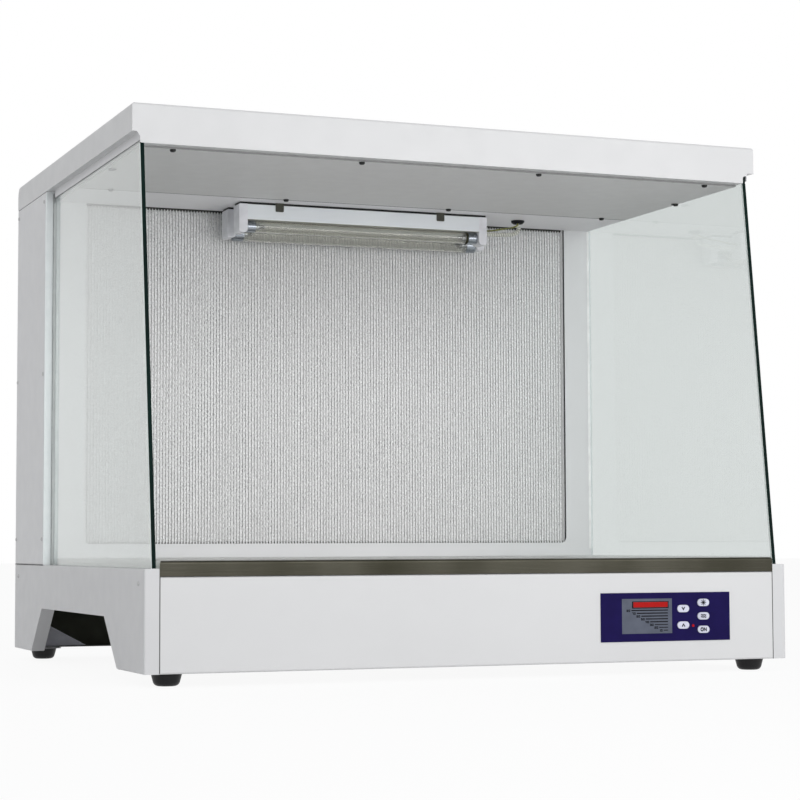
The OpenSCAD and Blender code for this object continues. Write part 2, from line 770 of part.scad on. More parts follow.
// Backward-curved impeller on the rotor cup of its motor.
module impeller() color([0.2, 0.2, 0.22]) cab() {
    deep = shroud_y - fan_back_y;
    eye_top = deep - ring_overlap - eye_gap;
    rim_low = deep - shroud_drop - ring_t / 2;
    cup_wall = 3;
    about_y(fan_back_y) {
        difference() {
            union() {
                cylinder(r = fan_r, h = disc_t);
                cylinder(r = rotor_r, h = cup_len);
            }
            translate([0, 0, -1]) cylinder(r = rotor_r - cup_wall, h = cup_len - cup_wall + 1);
        }
        cylinder(r = shaft_r, h = cup_len);
        rotate_extrude() polygon([
            [eye_r, deep], [eye_r + ring_t, deep], [fan_r, deep - shroud_drop],
            [fan_r, deep - shroud_drop - ring_t], [eye_r, deep - ring_t]
        ]);
        intersection() {
            linear_extrude(deep) for (i = [0 : blade_count - 1]) rotate(i * 360 / blade_count) blade();
            rotate_extrude() polygon([
                [0, disc_t / 2], [fan_r, disc_t / 2], [fan_r, rim_low],
                [eye_r + ring_t / 2, deep - ring_t / 2], [eye_r + ring_t / 2, eye_top], [0, eye_top]
            ]);
        }
    }
}
module fan_motor() color([0.35, 0.35, 0.37]) cab() {
    stator_gap = 3;
    stator_len = fan_back_y + cup_len - 3 - stator_gap - bracket_y - bracket_t;
    about_y(bracket_y + bracket_t) difference() {
        union() {
            cylinder(r = rotor_r - 3 - stator_gap, h = stator_len);
            cylinder(r = rotor_r, h = bracket_t);
        }
        translate([0, 0, bracket_t + 4]) cylinder(r = shaft_r + shaft_gap, h = stator_len);
    }
}
// Cross-shaped plate that carries the motor, on four standoffs from the intake box.
module fan_bracket() color("silver") cab() {
    arm_w = 26;
    reach = standoff_x * sqrt(2) + 12;
    about_y(bracket_y) linear_extrude(bracket_t) {
        circle(rotor_r + 12);
        for (a = [45, 135]) rotate(a) square([2 * reach, arm_w], center = true);
    }
    for (x = [-1, 1]) for (z = [-1, 1])
        translate([x * standoff_x, 0, fan_z + z * standoff_x])
            along_y(bracket_y + bracket_t, fan_plate_y) circle(standoff_r);
}
module prefilter_pad() color([0.85, 0.87, 0.9]) cab() {
    half = intake_w / 2;
    along_y(depth - pad_t, depth)
        rounded([-half, fan_z - half], [half, fan_z + half], [1, 1, 1, 1] * window_r);
}
module prefilter_grille() color("gainsboro") cab() {
    half = intake_w / 2 + grille_margin;
    pitch = intake_w / slot_count;
    slot_r = slot_h / 2;
    slot_hw = intake_w / 2 - 10;
    along_y(depth, depth + back_proud) difference() {
        rounded([-half, fan_z - half], [half, fan_z + half], [1, 1, 1, 1] * window_r);
        for (i = [0 : slot_count - 1]) translate([0, fan_z - intake_w / 2 + (i + 0.5) * pitch])
            rounded([-slot_hw, -slot_r], [slot_hw, slot_r], [1, 1, 1, 1] * (slot_r - 0.5));
    }
}
// Three-pin appliance inlet in the base's back panel.
module power_inlet() color([0.1, 0.1, 0.1]) cab() translate([inlet_x, depth, inlet_z]) {
    flange_w = 48;
    flange_h = 26;
    body_d = 22;
    wall = 2;
    pin = [4, 12, 2];
    difference() {
        union() {
            along_y(0, back_proud)
                rounded([-flange_w / 2, -flange_h / 2], [flange_w / 2, flange_h / 2], [4, 4, 4, 4]);
            box([-inlet_w / 2 + seam, -body_d, -inlet_h / 2 + seam],
                [inlet_w / 2 - seam, 0, inlet_h / 2 - seam]);
        }
        box([-inlet_w / 2 + wall, -body_d + wall, -inlet_h / 2 + wall],
            [inlet_w / 2 - wall, back_proud + 1, inlet_h / 2 - wall]);
    }
    for (p = [[-7, -2], [0, 2], [7, -2]])
        translate([p[0] - pin[2] / 2, -body_d + wall / 2, p[1] - pin[0] / 2]) cube([pin[2], pin[1], pin[0]]);
}
module lamp_ballasts() color("lightgray") cab() {
    ballast = [width / 6, rail_w, 0.7 * rail_h];
    for (x = [-width / 4, -width / 16])
        translate([x, return_w, rail_z - ballast[2]]) cube(ballast);
}

// Two lamps side by side: batten, a holder at each end, a tube between the holders.
module lamp_battens() color("white") cab() {
    fold_r = 1.5;
    for (l = lamps) along_x(lamp_x0 + holder_w, lamp_x0 + l[1] - holder_w)
        rounded([l[0], batten_low], [l[0] + batten_d, batten_top], [1, 1, 1, 1] * fold_r);
}
module lamp_holders() color("white") cab() {
    for (l = lamps) along_y(l[0], l[0] + batten_d) {
        rounded([lamp_x0, holder_low], [lamp_x0 + holder_w, batten_top], [4, 6, 0, 2]);
        rounded([lamp_x0 + l[1] - holder_w, holder_low], [lamp_x0 + l[1], batten_top], [6, 4, 2, 0]);
    }
}
// A round length of one lamp's tube, placed between the lamp's ends.
module tube_part(l, x0, x1, r)
    translate([lamp_x0, l[0] + batten_d / 2, batten_low - tube_gap - l[2]]) along_x(x0, x1) circle(r);
tube_start = holder_w + tube_cap_len;
module glass_tube(l) color([0.9, 0.95, 1, 0.3]) cab() difference() {
    tube_part(l, tube_start, l[1] - tube_start, l[2]);
    tube_part(l, 0, l[1], l[2] - tube_wall);
}
module uv_tube() glass_tube(lamps[0]);
module light_tube() glass_tube(lamps[1]);
// Metal caps, each with a glass stem that carries two wires and a filament.
module tube_caps() color("silver") cab() {
    stem_r = 5;
    stem_len = 9;
    wire_r = 0.6;
    wire_len = 8;
    wire_y = 4;
    for (l = lamps) for (end = [0, 1])
        translate([lamp_x0 + end * l[1], l[0] + batten_d / 2, batten_low - tube_gap - l[2]])
            rotate([0, 90 - 180 * end, 0]) {
                translate([0, 0, holder_w]) cylinder(r = l[2], h = tube_cap_len);
                translate([0, 0, tube_start]) cylinder(r = stem_r, h = stem_len);
                for (s = [-1, 1]) translate([0, s * wire_y, tube_start])
                    cylinder(r = wire_r, h = stem_len + wire_len);
                translate([0, 0, tube_start + stem_len + wire_len]) rotate([90, 0, 0])
                    cylinder(r = 2 * wire_r, h = 2 * wire_y + 2, center = true);
            }
}
// Spring clips that hang from the lamp panel and hug the battens' upper corners.
module lamp_clips() color([0.25, 0.25, 0.2]) cab() {
    hug = 11.5;
    corner_r = 2;
    clip_shift = 3.5;
    for (l = lamps) for (x = [-screw_x / 3, screw_x / 3]) translate([x + clip_shift, 0, 0]) difference() {
        along_y(l[0] - clip_t, l[0] + batten_d + clip_t)
            rounded([-clip_w / 2, batten_top - hug], [clip_w / 2, ceiling_z], [corner_r, corner_r, 0, 0]);
        box([-clip_w, l[0], batten_top - 2 * hug], [clip_w, l[0] + batten_d, batten_top]);
    }
}
grommet_neck_r = 9;
grommet_h = 3;
module cable_grommet() color([0.1, 0.1, 0.1]) cab() translate([grommet_x, grommet_y, ceiling_z]) {
    translate([0, 0, -grommet_h]) rotate_extrude()
        rounded([0, 0], [grommet_r, grommet_h], [0, grommet_h / 2, 0, 0]);
    cylinder(r = grommet_neck_r, h = ceiling_t);
    translate([0, 0, ceiling_t]) cylinder(r = grommet_r, h = grommet_h);
}

// Leads from the front lamp's right holder to the grommet, swept along hand-picked points.
lead_r = 3;
earth_r = 1.4;
lead_x = lamp_x0 + uv_len;
lead_y = uv_y + batten_d / 2;
// Point a share t of the way from the holder to the grommet, moved by dy and hung below the ceiling.
function on_way(t, dy, drop) =
    [lead_x + t * (grommet_x - lead_x), lead_y + t * (grommet_y - lead_y) + dy, ceiling_z - drop];
lead_path = [
    on_way(0, 0, 31), on_way(0.13, 0, 30.5), on_way(0.33, -1, 30), on_way(0.56, -2, 28.5),
    on_way(0.79, -2.5, 27), on_way(0.95, -3, 22.5), on_way(1.02, -2.5, 15), on_way(1, -0.5, 8),
    on_way(1, 0, grommet_h)
];
earth_path = [
    on_way(0, -5, 26), on_way(0.1, -7, 25.5), on_way(0.27, -10, 23.5), on_way(0.49, -11.5, 20),
    on_way(0.65, -10.5, 17.5), on_way(0.8, -9.5, 14.5), on_way(0.92, -7.5, 10.5),
    on_way(0.96, -6, 6.5), on_way(0.96, -5.5, grommet_h)
];
function smooth(a, b, c, d, t) = 0.5 * (2 * b + (c - a) * t
    + (2 * a - 5 * b + 4 * c - d) * t * t + (3 * b - a - 3 * c + d) * t * t * t);
function rings_along(p, steps) = concat([for (i = [0 : len(p) - 2]) for (k = [0 : steps - 1])
    smooth(p[max(i - 1, 0)], p[i], p[i + 1], p[min(i + 2, len(p) - 1)], k / steps)],
    [p[len(p) - 1]]);
function unit(v) = v / norm(v);
module lead(points, r) {
    sides = 8;
    c = rings_along(points, 4);
    n = len(c);
    verts = [for (i = [0 : n - 1])
        let (along = i == 0 ? [1, 0, 0] : i == n - 1 ? [0, 0, 1] : unit(c[i + 1] - c[i - 1]),
            u = unit(cross(along, [0, 1, 0])), v = cross(along, u))
        for (k = [0 : sides - 1]) c[i] + r * (cos(k * 45) * u + sin(k * 45) * v)];
    walls = [for (i = [0 : n - 2]) for (k = [0 : sides - 1])
        let (a = i * sides + k, b = i * sides + (k + 1) % sides)
        each [[a, b, b + sides], [a, b + sides, a + sides]]];
    ends = [[for (k = [sides - 1 : -1 : 0]) k], [for (k = [0 : sides - 1]) (n - 1) * sides + k]];
    polyhedron(verts, concat(walls, ends));
}
module lamp_lead() color([0.85, 0.85, 0.8]) cab() lead(lead_path, lead_r);
module earth_lead() color([0.6, 0.7, 0.1]) cab() lead(earth_path, earth_r);

base_side_left();
base_side_right();
base_front_panel();
base_back_panel();
cross_rail_front();
cross_rail_middle();
cross_rail_rear();
foot_front_left();
foot_front_right();
foot_rear_left();
foot_rear_right();
worktop();
worktop_upstand();
worktop_stiffeners();
keypad_overlay();
display_window();
control_housing();
control_board();
power_led();
key_down();
key_up();
key_lamp();
key_uv();
key_power();
glass_left();
glass_right();
glass_rail_left();
glass_rail_right();
roof_cover();
ceiling_panel();
lamp_panel();
ceiling_screws();
plenum_side_left();
plenum_side_right();
plenum_floor();
back_cover();
filter_wall();
filter_gasket();
filter_frame();
filter_pack();
filter_clamps();
filter_shelf();
intake_box();
inlet_ring();
impeller();
fan_motor();
fan_bracket();
prefilter_pad();
prefilter_grille();
power_inlet();
lamp_ballasts();
lamp_battens();
lamp_holders();
uv_tube();
light_tube();
tube_caps();
lamp_clips();
cable_grommet();
lamp_lead();
earth_lead();
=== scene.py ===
import math
import random

import bmesh
import bpy
from mathutils import Matrix, Vector


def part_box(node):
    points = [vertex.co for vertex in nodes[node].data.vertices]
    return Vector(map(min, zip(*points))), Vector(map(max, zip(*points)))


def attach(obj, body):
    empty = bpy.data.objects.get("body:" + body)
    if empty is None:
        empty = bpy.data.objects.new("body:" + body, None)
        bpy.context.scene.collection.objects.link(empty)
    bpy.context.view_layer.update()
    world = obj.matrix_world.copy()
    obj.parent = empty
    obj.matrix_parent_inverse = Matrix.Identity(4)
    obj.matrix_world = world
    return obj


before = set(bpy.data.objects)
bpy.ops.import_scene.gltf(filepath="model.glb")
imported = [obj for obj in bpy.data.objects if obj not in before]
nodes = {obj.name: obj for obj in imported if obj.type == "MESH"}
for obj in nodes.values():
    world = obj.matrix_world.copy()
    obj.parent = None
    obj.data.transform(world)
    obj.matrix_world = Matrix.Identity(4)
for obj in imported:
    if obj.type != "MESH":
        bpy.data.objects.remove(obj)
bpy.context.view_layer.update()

scene = bpy.context.scene
scene.view_settings.view_transform = "Standard"

# ---------------------------------------------------------------------------
# Camera. It stands low in front of the hood's left corner, at about the height
# of the worktop, and looks slightly up.
# ---------------------------------------------------------------------------
camera_at = Vector((-1.2994, -3.3692, 0.2003))
camera_yaw = math.radians(21.73)
camera_pitch = math.radians(3.841)
camera_roll = math.radians(-0.189)
sensor = 36.0
focal_px = 2141.15
frame_px = 800

look = Vector((math.sin(camera_yaw) * math.cos(camera_pitch),
               math.cos(camera_yaw) * math.cos(camera_pitch),
               math.sin(camera_pitch)))
level = Vector((math.cos(camera_yaw), -math.sin(camera_yaw), 0))
rise = level.cross(look)
across = level * math.cos(camera_roll) + rise * math.sin(camera_roll)
upward = rise * math.cos(camera_roll) - level * math.sin(camera_roll)
camera = bpy.data.objects.new("camera", bpy.data.cameras.new("camera"))
camera.data.sensor_width = sensor
camera.data.lens = sensor * focal_px / frame_px
camera.data.clip_end = 50
camera.matrix_world = Matrix((
    (across.x, upward.x, -look.x, camera_at.x),
    (across.y, upward.y, -look.y, camera_at.y),
    (across.z, upward.z, -look.z, camera_at.z),
    (0, 0, 0, 1)))
scene.collection.objects.link(camera)
scene.camera = camera


# ---------------------------------------------------------------------------
# Studio. A wide white floor, a soft surround and two large soft boxes: one in
# front to the right, one faint from the left. A low fill lifts the inside.
# ---------------------------------------------------------------------------
def add_node(tree, kind, **values):
    """Adds a shader node; values name its attributes or its input sockets."""
    node = tree.nodes.new("ShaderNode" + kind)
    for name, value in values.items():
        socket = node.inputs.get(name.replace("_", " "))
        if hasattr(node, name):
            setattr(node, name, value)
        else:
            socket.default_value = value
    return node


def seen_directly(tree):
    """A socket that is 1 on camera, glossy and transmission rays, else 0."""
    path = add_node(tree, "LightPath")
    gloss = add_node(tree, "Math", operation="MAXIMUM")
    both = add_node(tree, "Math", operation="MAXIMUM")
    tree.links.new(path.outputs["Is Glossy Ray"], gloss.inputs[0])
    tree.links.new(path.outputs["Is Transmission Ray"], gloss.inputs[1])
    tree.links.new(path.outputs["Is Camera Ray"], both.inputs[0])
    tree.links.new(gloss.outputs[0], both.inputs[1])
    return both.outputs[0]


world = bpy.data.worlds.new("surround")
world.use_nodes = True
scene.world = world
tree = world.node_tree
tree.nodes.clear()
surround_light = 0.6
lit = add_node(tree, "Background", Color=(0.97, 0.985, 1, 1), Strength=surround_light)
backdrop = add_node(tree, "Background", Color=(1, 1, 1, 1), Strength=1.0)
choose = add_node(tree, "MixShader")
world_out = add_node(tree, "OutputWorld")
tree.links.new(seen_directly(tree), choose.inputs[0])
tree.links.new(lit.outputs[0], choose.inputs[1])
tree.links.new(backdrop.outputs[0], choose.inputs[2])
tree.links.new(choose.outputs[0], world_out.inputs[0])

floor_mesh = bpy.data.meshes.new("floor")
floor_half = 20.0
floor_glow = 0.92
floor_mesh.from_pydata([(-floor_half, -floor_half, 0), (floor_half, -floor_half, 0),
                        (floor_half, floor_half, 0), (-floor_half, floor_half, 0)],
                       [], [(0, 1, 2, 3)])
floor = bpy.data.objects.new("floor", floor_mesh)
scene.collection.objects.link(floor)
floor_look = bpy.data.materials.new("floor_paint")
floor_look.use_nodes = True
tree = floor_look.node_tree
tree.nodes.clear()
paint = add_node(tree, "BsdfDiffuse", Color=(0.86, 0.86, 0.86, 1))
glow = add_node(tree, "Emission", Color=(1, 1, 1, 1), Strength=1.0)
blend = add_node(tree, "MixShader")
share = add_node(tree, "Math", operation="MULTIPLY")
share.inputs[1].default_value = floor_glow
out = add_node(tree, "OutputMaterial")
tree.links.new(seen_directly(tree), share.inputs[0])
tree.links.new(share.outputs[0], blend.inputs[0])
tree.links.new(paint.outputs[0], blend.inputs[1])
tree.links.new(glow.outputs[0], blend.inputs[2])
tree.links.new(blend.outputs[0], out.inputs[0])
floor_mesh.materials.append(floor_look)


def soft_box(name, at, aim, size, watts):
    """A square area lamp at one place, facing another."""
    lamp = bpy.data.lights.new(name, "AREA")
    lamp.size = size
    lamp.energy = watts
    holder = bpy.data.objects.new(name, lamp)
    holder.location = at
    holder.rotation_euler = (Vector(aim) - Vector(at)).to_track_quat("-Z", "Y").to_euler()
    scene.collection.objects.link(holder)
    return holder


soft_box("front_box", (1.5, -4.4, 1.5), (0, 0, 0.45), 2.8, 82)
soft_box("low_fill", (0.1, -2.7, 0.16), (0, 0.2, 0.72), 0.9, 11).visible_glossy = False
soft_box("left_box", (-4.5, -1.0, 1.8), (0, 0, 0.4), 2.0, 10)


# ---------------------------------------------------------------------------
# Painted steel. The panels are folded sheet with a baked powder coat: pale,
# satin, with a faint orange peel. The front panels take a darker copy of the coat, painted shade,
# and the lamp panel a lighter one, painted light;
# the plenum's front edges are painted whiter, painted light, and the ceiling panel's front edge is
# painted darker, painted shade.
# ---------------------------------------------------------------------------
def start_finish(name, **surface):
    """A material with one surface shader; returns it, its tree and the shader."""
    made = bpy.data.materials.new(name)
    made.use_nodes = True
    tree = made.node_tree
    tree.nodes.clear()
    shader = add_node(tree, "BsdfPrincipled", **surface)
    out = add_node(tree, "OutputMaterial")
    tree.links.new(shader.outputs[0], out.inputs["Surface"])
    return made, tree, shader


def grain(tree, scale, detail=2.0, stretch=(1, 1, 1)):
    """Noise over the object's own coordinates, in cycles per metre."""
    place = add_node(tree, "TexCoord")
    squeeze = add_node(tree, "Mapping")
    squeeze.inputs["Scale"].default_value = stretch
    noise = add_node(tree, "TexNoise", Scale=scale, Detail=detail)
    tree.links.new(place.outputs["Object"], squeeze.inputs["Vector"])
    tree.links.new(squeeze.outputs[0], noise.inputs["Vector"])
    return noise.outputs["Fac"]


def spread(tree, source, low=0, high=1):
    """Maps a noise of 0.3 to 0.7, or a switch of 0 and 1, to a range of values."""
    span = add_node(tree, "MapRange")
    span.inputs["From Min"].default_value = 0.3
    span.inputs["From Max"].default_value = 0.7
    span.inputs["To Min"].default_value = low
    span.inputs["To Max"].default_value = high
    tree.links.new(source, span.inputs["Value"])
    return span.outputs["Result"]


def colour_mix(tree):
    """A colour mix: its factor, its two colour inputs and its result."""
    mix = add_node(tree, "Mix", data_type="RGBA")
    first, second = [s for s in mix.inputs if s.type == "RGBA"]
    result = [s for s in mix.outputs if s.type == "RGBA"][0]
    return mix.inputs["Factor"], first, second, result


def tones(tree, share, dark, light):
    """A colour socket between two close tones."""
    factor, first, second, result = colour_mix(tree)
    first.default_value = (*dark, 1)
    second.default_value = (*light, 1)
    tree.links.new(share, factor)
    return result


def shade(tree, shader, source, dark, light):
    """Drives the base colour between two close tones."""
    tree.links.new(tones(tree, spread(tree, source), dark, light), shader.inputs["Base Color"])


def dent(tree, shader, source, height, strength=0.5):
    """Feeds a height pattern to the shader's normal; height is in metres."""
    bump = add_node(tree, "Bump", Strength=strength, Distance=height)
    tree.links.new(source, bump.inputs["Height"])
    tree.links.new(bump.outputs[0], shader.inputs["Normal"])


def powder_coat(name, tone):
    made, tree, shader = start_finish(name, Roughness=0.42)
    light = Vector(tone)
    shade(tree, shader, grain(tree, 3.0), tuple(light * 0.97), tuple(light))
    tree.links.new(spread(tree, grain(tree, 40.0), 0.38, 0.5), shader.inputs["Roughness"])
    dent(tree, shader, grain(tree, 700.0), 0.00012, 0.35)
    return made


def two_colours(tree, shader, chooser, first, second):
    """Drives the base colour: second where chooser is 1, first elsewhere."""
    factor, colour_a, colour_b, result = colour_mix(tree)
    tree.links.new(chooser, factor)
    tree.links.new(first, colour_a)
    tree.links.new(second, colour_b)
    tree.links.new(result, shader.inputs["Base Color"])


def normal_past(tree, axis, operation, bound, factor=1.0):
    """A socket that is 1 where the flat normal's part along axis, put through a
    math operation with factor, is beyond bound."""
    shape = add_node(tree, "NewGeometry")
    split = add_node(tree, "SeparateXYZ")
    change = add_node(tree, "Math", operation=operation)
    change.inputs[1].default_value = factor
    beyond = add_node(tree, "Math", operation="GREATER_THAN")
    beyond.inputs[1].default_value = bound
    tree.links.new(shape.outputs["True Normal"], split.inputs[0])
    tree.links.new(split.outputs[axis], change.inputs[0])
    tree.links.new(change.outputs[0], beyond.inputs[0])
    return beyond.outputs[0]


def towards(tree, axis, hand):
    """A socket that is 1 on faces that point along an axis to one hand."""
    return normal_past(tree, axis, "MULTIPLY", 0.5, hand)


def recolour(made, axis, hand, scale, dark, light):
    """Gives a coat other tones, painted light and shade, on faces that point one way; returns that
    switch.
    """
    tree = made.node_tree
    shader = tree.nodes["Principled BSDF"]
    coat = shader.inputs["Base Color"].links[0].from_socket
    there = towards(tree, axis, hand)
    other = tones(tree, spread(tree, grain(tree, scale)), dark, light)
    two_colours(tree, shader, there, coat, other)
    return there


def dress(made, *names):
    """Gives CAD nodes a finish."""
    for name in names:
        slots = nodes[name].material_slots
        for slot in slots:
            slot.material = made
        if not slots:
            nodes[name].data.materials.append(made)


coat_grey = powder_coat("powder_coat", (0.68, 0.68, 0.69))
# The front panel and roof cover take a darker copy of the coat: painted shade against the front
# light.
coat_front_painted_shade = powder_coat("powder_coat_front", (0.64, 0.64, 0.645))
coat_wall = powder_coat("powder_coat_wall", (0.75, 0.75, 0.76))
dress(coat_grey, "glass_rail_left", "glass_rail_right", "plenum_floor", "back_cover",
      "prefilter_grille", "lamp_ballasts")
dress(coat_front_painted_shade, "base_front_panel", "roof_cover")
dress(coat_wall, "filter_wall", "worktop_upstand")
# The lamp panel takes a lighter copy of the coat: painted light on a shaded underside.
dress(powder_coat("lamp_panel_coat_painted_light", (0.86, 0.85, 0.87)), "lamp_panel")
plenum_coat_painted_light = powder_coat("plenum_coat_painted_light", (0.68, 0.68, 0.69))
# Front-facing faces of the plenum sides are painted whiter: painted light.
recolour(plenum_coat_painted_light, 1, -1, 60.0, (0.9, 0.93, 0.94), (0.95, 0.97, 0.98))
dress(plenum_coat_painted_light, "plenum_side_left", "plenum_side_right")
ceiling_coat_painted_shade = powder_coat("ceiling_coat_painted_shade", (0.66, 0.655, 0.655))
# Front-facing faces of the ceiling panel are painted dark: painted shade.
recolour(ceiling_coat_painted_shade, 1, -1, 60.0, (0.22, 0.22, 0.22), (0.28, 0.28, 0.28))
dress(ceiling_coat_painted_shade, "ceiling_panel")


# ---------------------------------------------------------------------------
# Seams and screws of the casing. Black strips in the gaps at each end of the front
# panel, under the worktop lip, along the plenum's foot and in the ceiling seam are painted shade;
# domed cross-head screws hold the plenum and back panels.
# ---------------------------------------------------------------------------
def mesh_piece(name, verts, faces, made, body="cabinet", smooth=False):
    """A piece from lists of points and faces, with its finish and its body."""
    mesh = bpy.data.meshes.new(name)
    mesh.from_pydata([tuple(v) for v in verts], [], faces)
    work = bmesh.new()
    work.from_mesh(mesh)
    bmesh.ops.recalc_face_normals(work, faces=work.faces)
    work.to_mesh(mesh)
    work.free()
    mesh.materials.append(made)
    for face in mesh.polygons:
        face.use_smooth = smooth
    piece = bpy.data.objects.new(name, mesh)
    scene.collection.objects.link(piece)
    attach(piece, body)
    return piece


def add_prism(verts, faces, outline, lift):
    """Adds a closed prism: an outline of points and the same moved by lift."""
    start = len(verts)
    count = len(outline)
    verts.extend(Vector(p) for p in outline)
    verts.extend(Vector(p) + Vector(lift) for p in outline)
    faces.append(tuple(range(start, start + count)))
    faces.append(tuple(range(start + 2 * count - 1, start + count - 1, -1)))
    for i in range(count):
        j = (i + 1) % count
        faces.append((start + i, start + j, start + count + j, start + count + i))


def add_box(verts, faces, corner, opposite):
    """Adds a box between two opposite corners."""
    (x0, y0, z0), (x1, y1, z1) = corner, opposite
    front = [(x0, y0, z0), (x1, y0, z0), (x1, y0, z1), (x0, y0, z1)]
    add_prism(verts, faces, front, (0, y1 - y0, 0))


def add_screw(verts, faces, at, out, radius, height):
    """Adds a domed screw head with a cross recess; out is the way it faces."""
    out = Vector(out)
    side = out.orthogonal().normalized()
    up = out.cross(side)
    sectors = 24
    profile = [(1.0, 0.0), (1.0, 0.35), (0.9, 0.72), (0.72, 0.94), (0.0, 1.0), (0.0, 0.45)]
    cross_tip, cross_side, cross_inner = 0.6, 0.5, 0.2
    start = len(verts)
    for wide, high in profile:
        for k in range(sectors):
            turn = 2 * math.pi * k / sectors
            tip = {0: cross_tip, 1: cross_side, 5: cross_side}.get(k % 6, cross_inner)
            reach = (wide or tip) * radius
            verts.append(Vector(at) + side * (math.cos(turn) * reach)
                         + up * (math.sin(turn) * reach) + out * (high * height))
    for ring in range(len(profile) - 1):
        for k in range(sectors):
            a = start + ring * sectors + k
            b = start + ring * sectors + (k + 1) % sectors
            faces.append((a, b, b + sectors, a + sectors))
    bottom = start + (len(profile) - 1) * sectors
    faces.append(tuple(range(bottom, bottom + sectors)))
    faces.append(tuple(range(start + sectors - 1, start - 1, -1)))


# Black strips laid in the casing's gaps and seams: painted shade.
seam_shade_black, tree, shader = start_finish("seam_painted_shade", Roughness=0.7)
shade(tree, shader, grain(tree, 200.0), (0.035, 0.035, 0.035), (0.06, 0.06, 0.06))
dent(tree, shader, grain(tree, 900.0), 0.0001)
panel_low, panel_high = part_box("base_front_panel")
plenum_low, plenum_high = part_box("plenum_side_right")
ceiling_low, ceiling_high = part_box("ceiling_panel")
lamp_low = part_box("lamp_panel")[0]
shade_strip_w = 0.0013
shade_strip_over = 0.0003
shade_strip_proud = 0.00012
lip_gap = 0.0012
lip_rise = 0.0004
seam_half = 0.0006
verts, faces = [], []
for end, inward in ((panel_low.x, 1), (panel_high.x, -1)):
    add_box(verts, faces, (end - shade_strip_over * inward, panel_low.y, panel_low.z + shade_strip_w),
            (end + (shade_strip_w - shade_strip_over) * inward, panel_low.y - shade_strip_proud, panel_high.z))
lip_y = panel_low.y - shade_strip_proud
add_box(verts, faces, (panel_low.x, lip_y, panel_high.z - shade_strip_over),
        (panel_high.x, lip_y + lip_gap, panel_high.z + lip_rise))
for hand in (-1, 1):
    side_x = hand * plenum_high.x
    add_box(verts, faces, (side_x, plenum_low.y, plenum_low.z - seam_half),
            (side_x + hand * shade_strip_proud, plenum_high.y, plenum_low.z + seam_half))
add_box(verts, faces, (ceiling_low.x, ceiling_high.y - seam_half, ceiling_low.z),
        (ceiling_high.x, lamp_low.y + seam_half, ceiling_low.z - shade_strip_proud))
mesh_piece("casing_seam_shade", verts, faces, seam_shade_black)

# The ceiling screws are black steel, darkened further to near-black as painted shade on their
# shaded sides.
screw_black_and_shade, tree, shader = start_finish("black_screw_steel_and_shade", Metallic=0.6, Roughness=0.4)
shade(tree, shader, grain(tree, 400.0), (0.012, 0.012, 0.012), (0.03, 0.03, 0.03))
dent(tree, shader, grain(tree, 2000.0), 0.00003)
dress(screw_black_and_shade, "ceiling_screws")
front_row, middle_row, rear_row = -0.343, -0.1545, 0.034
front_shift = 0.0055
places = [(x - front_shift, front_row) for x in (-0.447, -0.149, 0.149, 0.447)]
places += [(x, rear_row) for x in (-0.447, -0.149, 0.149, 0.447)]
places += [(x, middle_row) for x in (-0.493, 0.493)]
verts, faces = [], []
for x, y in places:
    add_screw(verts, faces, (x, y, ceiling_low.z), (0, 0, -1), 0.0046, 0.0038)
mesh_piece("ceiling_screw_heads", verts, faces, screw_black_and_shade)
screw_bright, tree, shader = start_finish("zinc_screw_steel", Metallic=1.0, Roughness=0.35)
shade(tree, shader, grain(tree, 400.0), (0.4, 0.4, 0.41), (0.55, 0.55, 0.55))
dent(tree, shader, grain(tree, 2000.0), 0.00003)
base_low, base_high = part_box("base_side_right")
back_low, back_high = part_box("back_cover")
head_r = 0.0034
head_h = 0.0016
edge_in = 0.0095
base_screw_z = 0.145
verts, faces = [], []
for hand in (-1, 1):
    for z in (0.21, 0.49, 0.785):
        for y in (plenum_low.y + edge_in, plenum_high.y - edge_in):
            add_screw(verts, faces, (hand * plenum_high.x, y, z), (hand, 0, 0), head_r, head_h)
    for y in (base_low.y + 0.03, base_high.y - 0.03):
        add_screw(verts, faces, (hand * base_high.x, y, base_screw_z), (hand, 0, 0), head_r, head_h)
mesh_piece("side_screws", verts, faces, screw_bright)
places = [(x, z) for x in (-0.49, -0.245, 0, 0.245, 0.49)
          for z in (back_low.z + edge_in, back_high.z - edge_in)]
places += [(x, z) for x in (-0.49, 0.49) for z in (0.33, 0.48, 0.63)]
places += [(x, z) for x in (-0.48, 0.48) for z in (0.04, base_screw_z)]
verts, faces = [], []
for x, z in places:
    add_screw(verts, faces, (x, back_high.y, z), (0, 1, 0), head_r, head_h)
mesh_piece("back_screws", verts, faces, screw_bright)


# ---------------------------------------------------------------------------
# Base. Its sides and back are powder-coated outside; their inner faces are painted
# near-black as painted shade, which shows through the openings in the sides. A
# galvanised gusset stiffens each rear corner; its pale tone is painted light.
# ---------------------------------------------------------------------------
# Inner faces painted near-black: painted shade inside the base, seen through the side openings.
def painted_shade_inside(name, axis, hand):
    made = powder_coat(name, (0.61, 0.61, 0.62))
    inside = recolour(made, axis, hand, 25.0, (0.045, 0.048, 0.036), (0.065, 0.068, 0.054))
    tree = made.node_tree
    sheen = tree.nodes["Principled BSDF"].inputs["Specular IOR Level"]
    tree.links.new(spread(tree, inside, 0.5, 0.04), sheen)
    return made


dress(painted_shade_inside("side_coat_left", 0, 1), "base_side_left")
dress(painted_shade_inside("side_coat_right", 0, -1), "base_side_right")
dress(painted_shade_inside("back_coat", 1, -1), "base_back_panel")

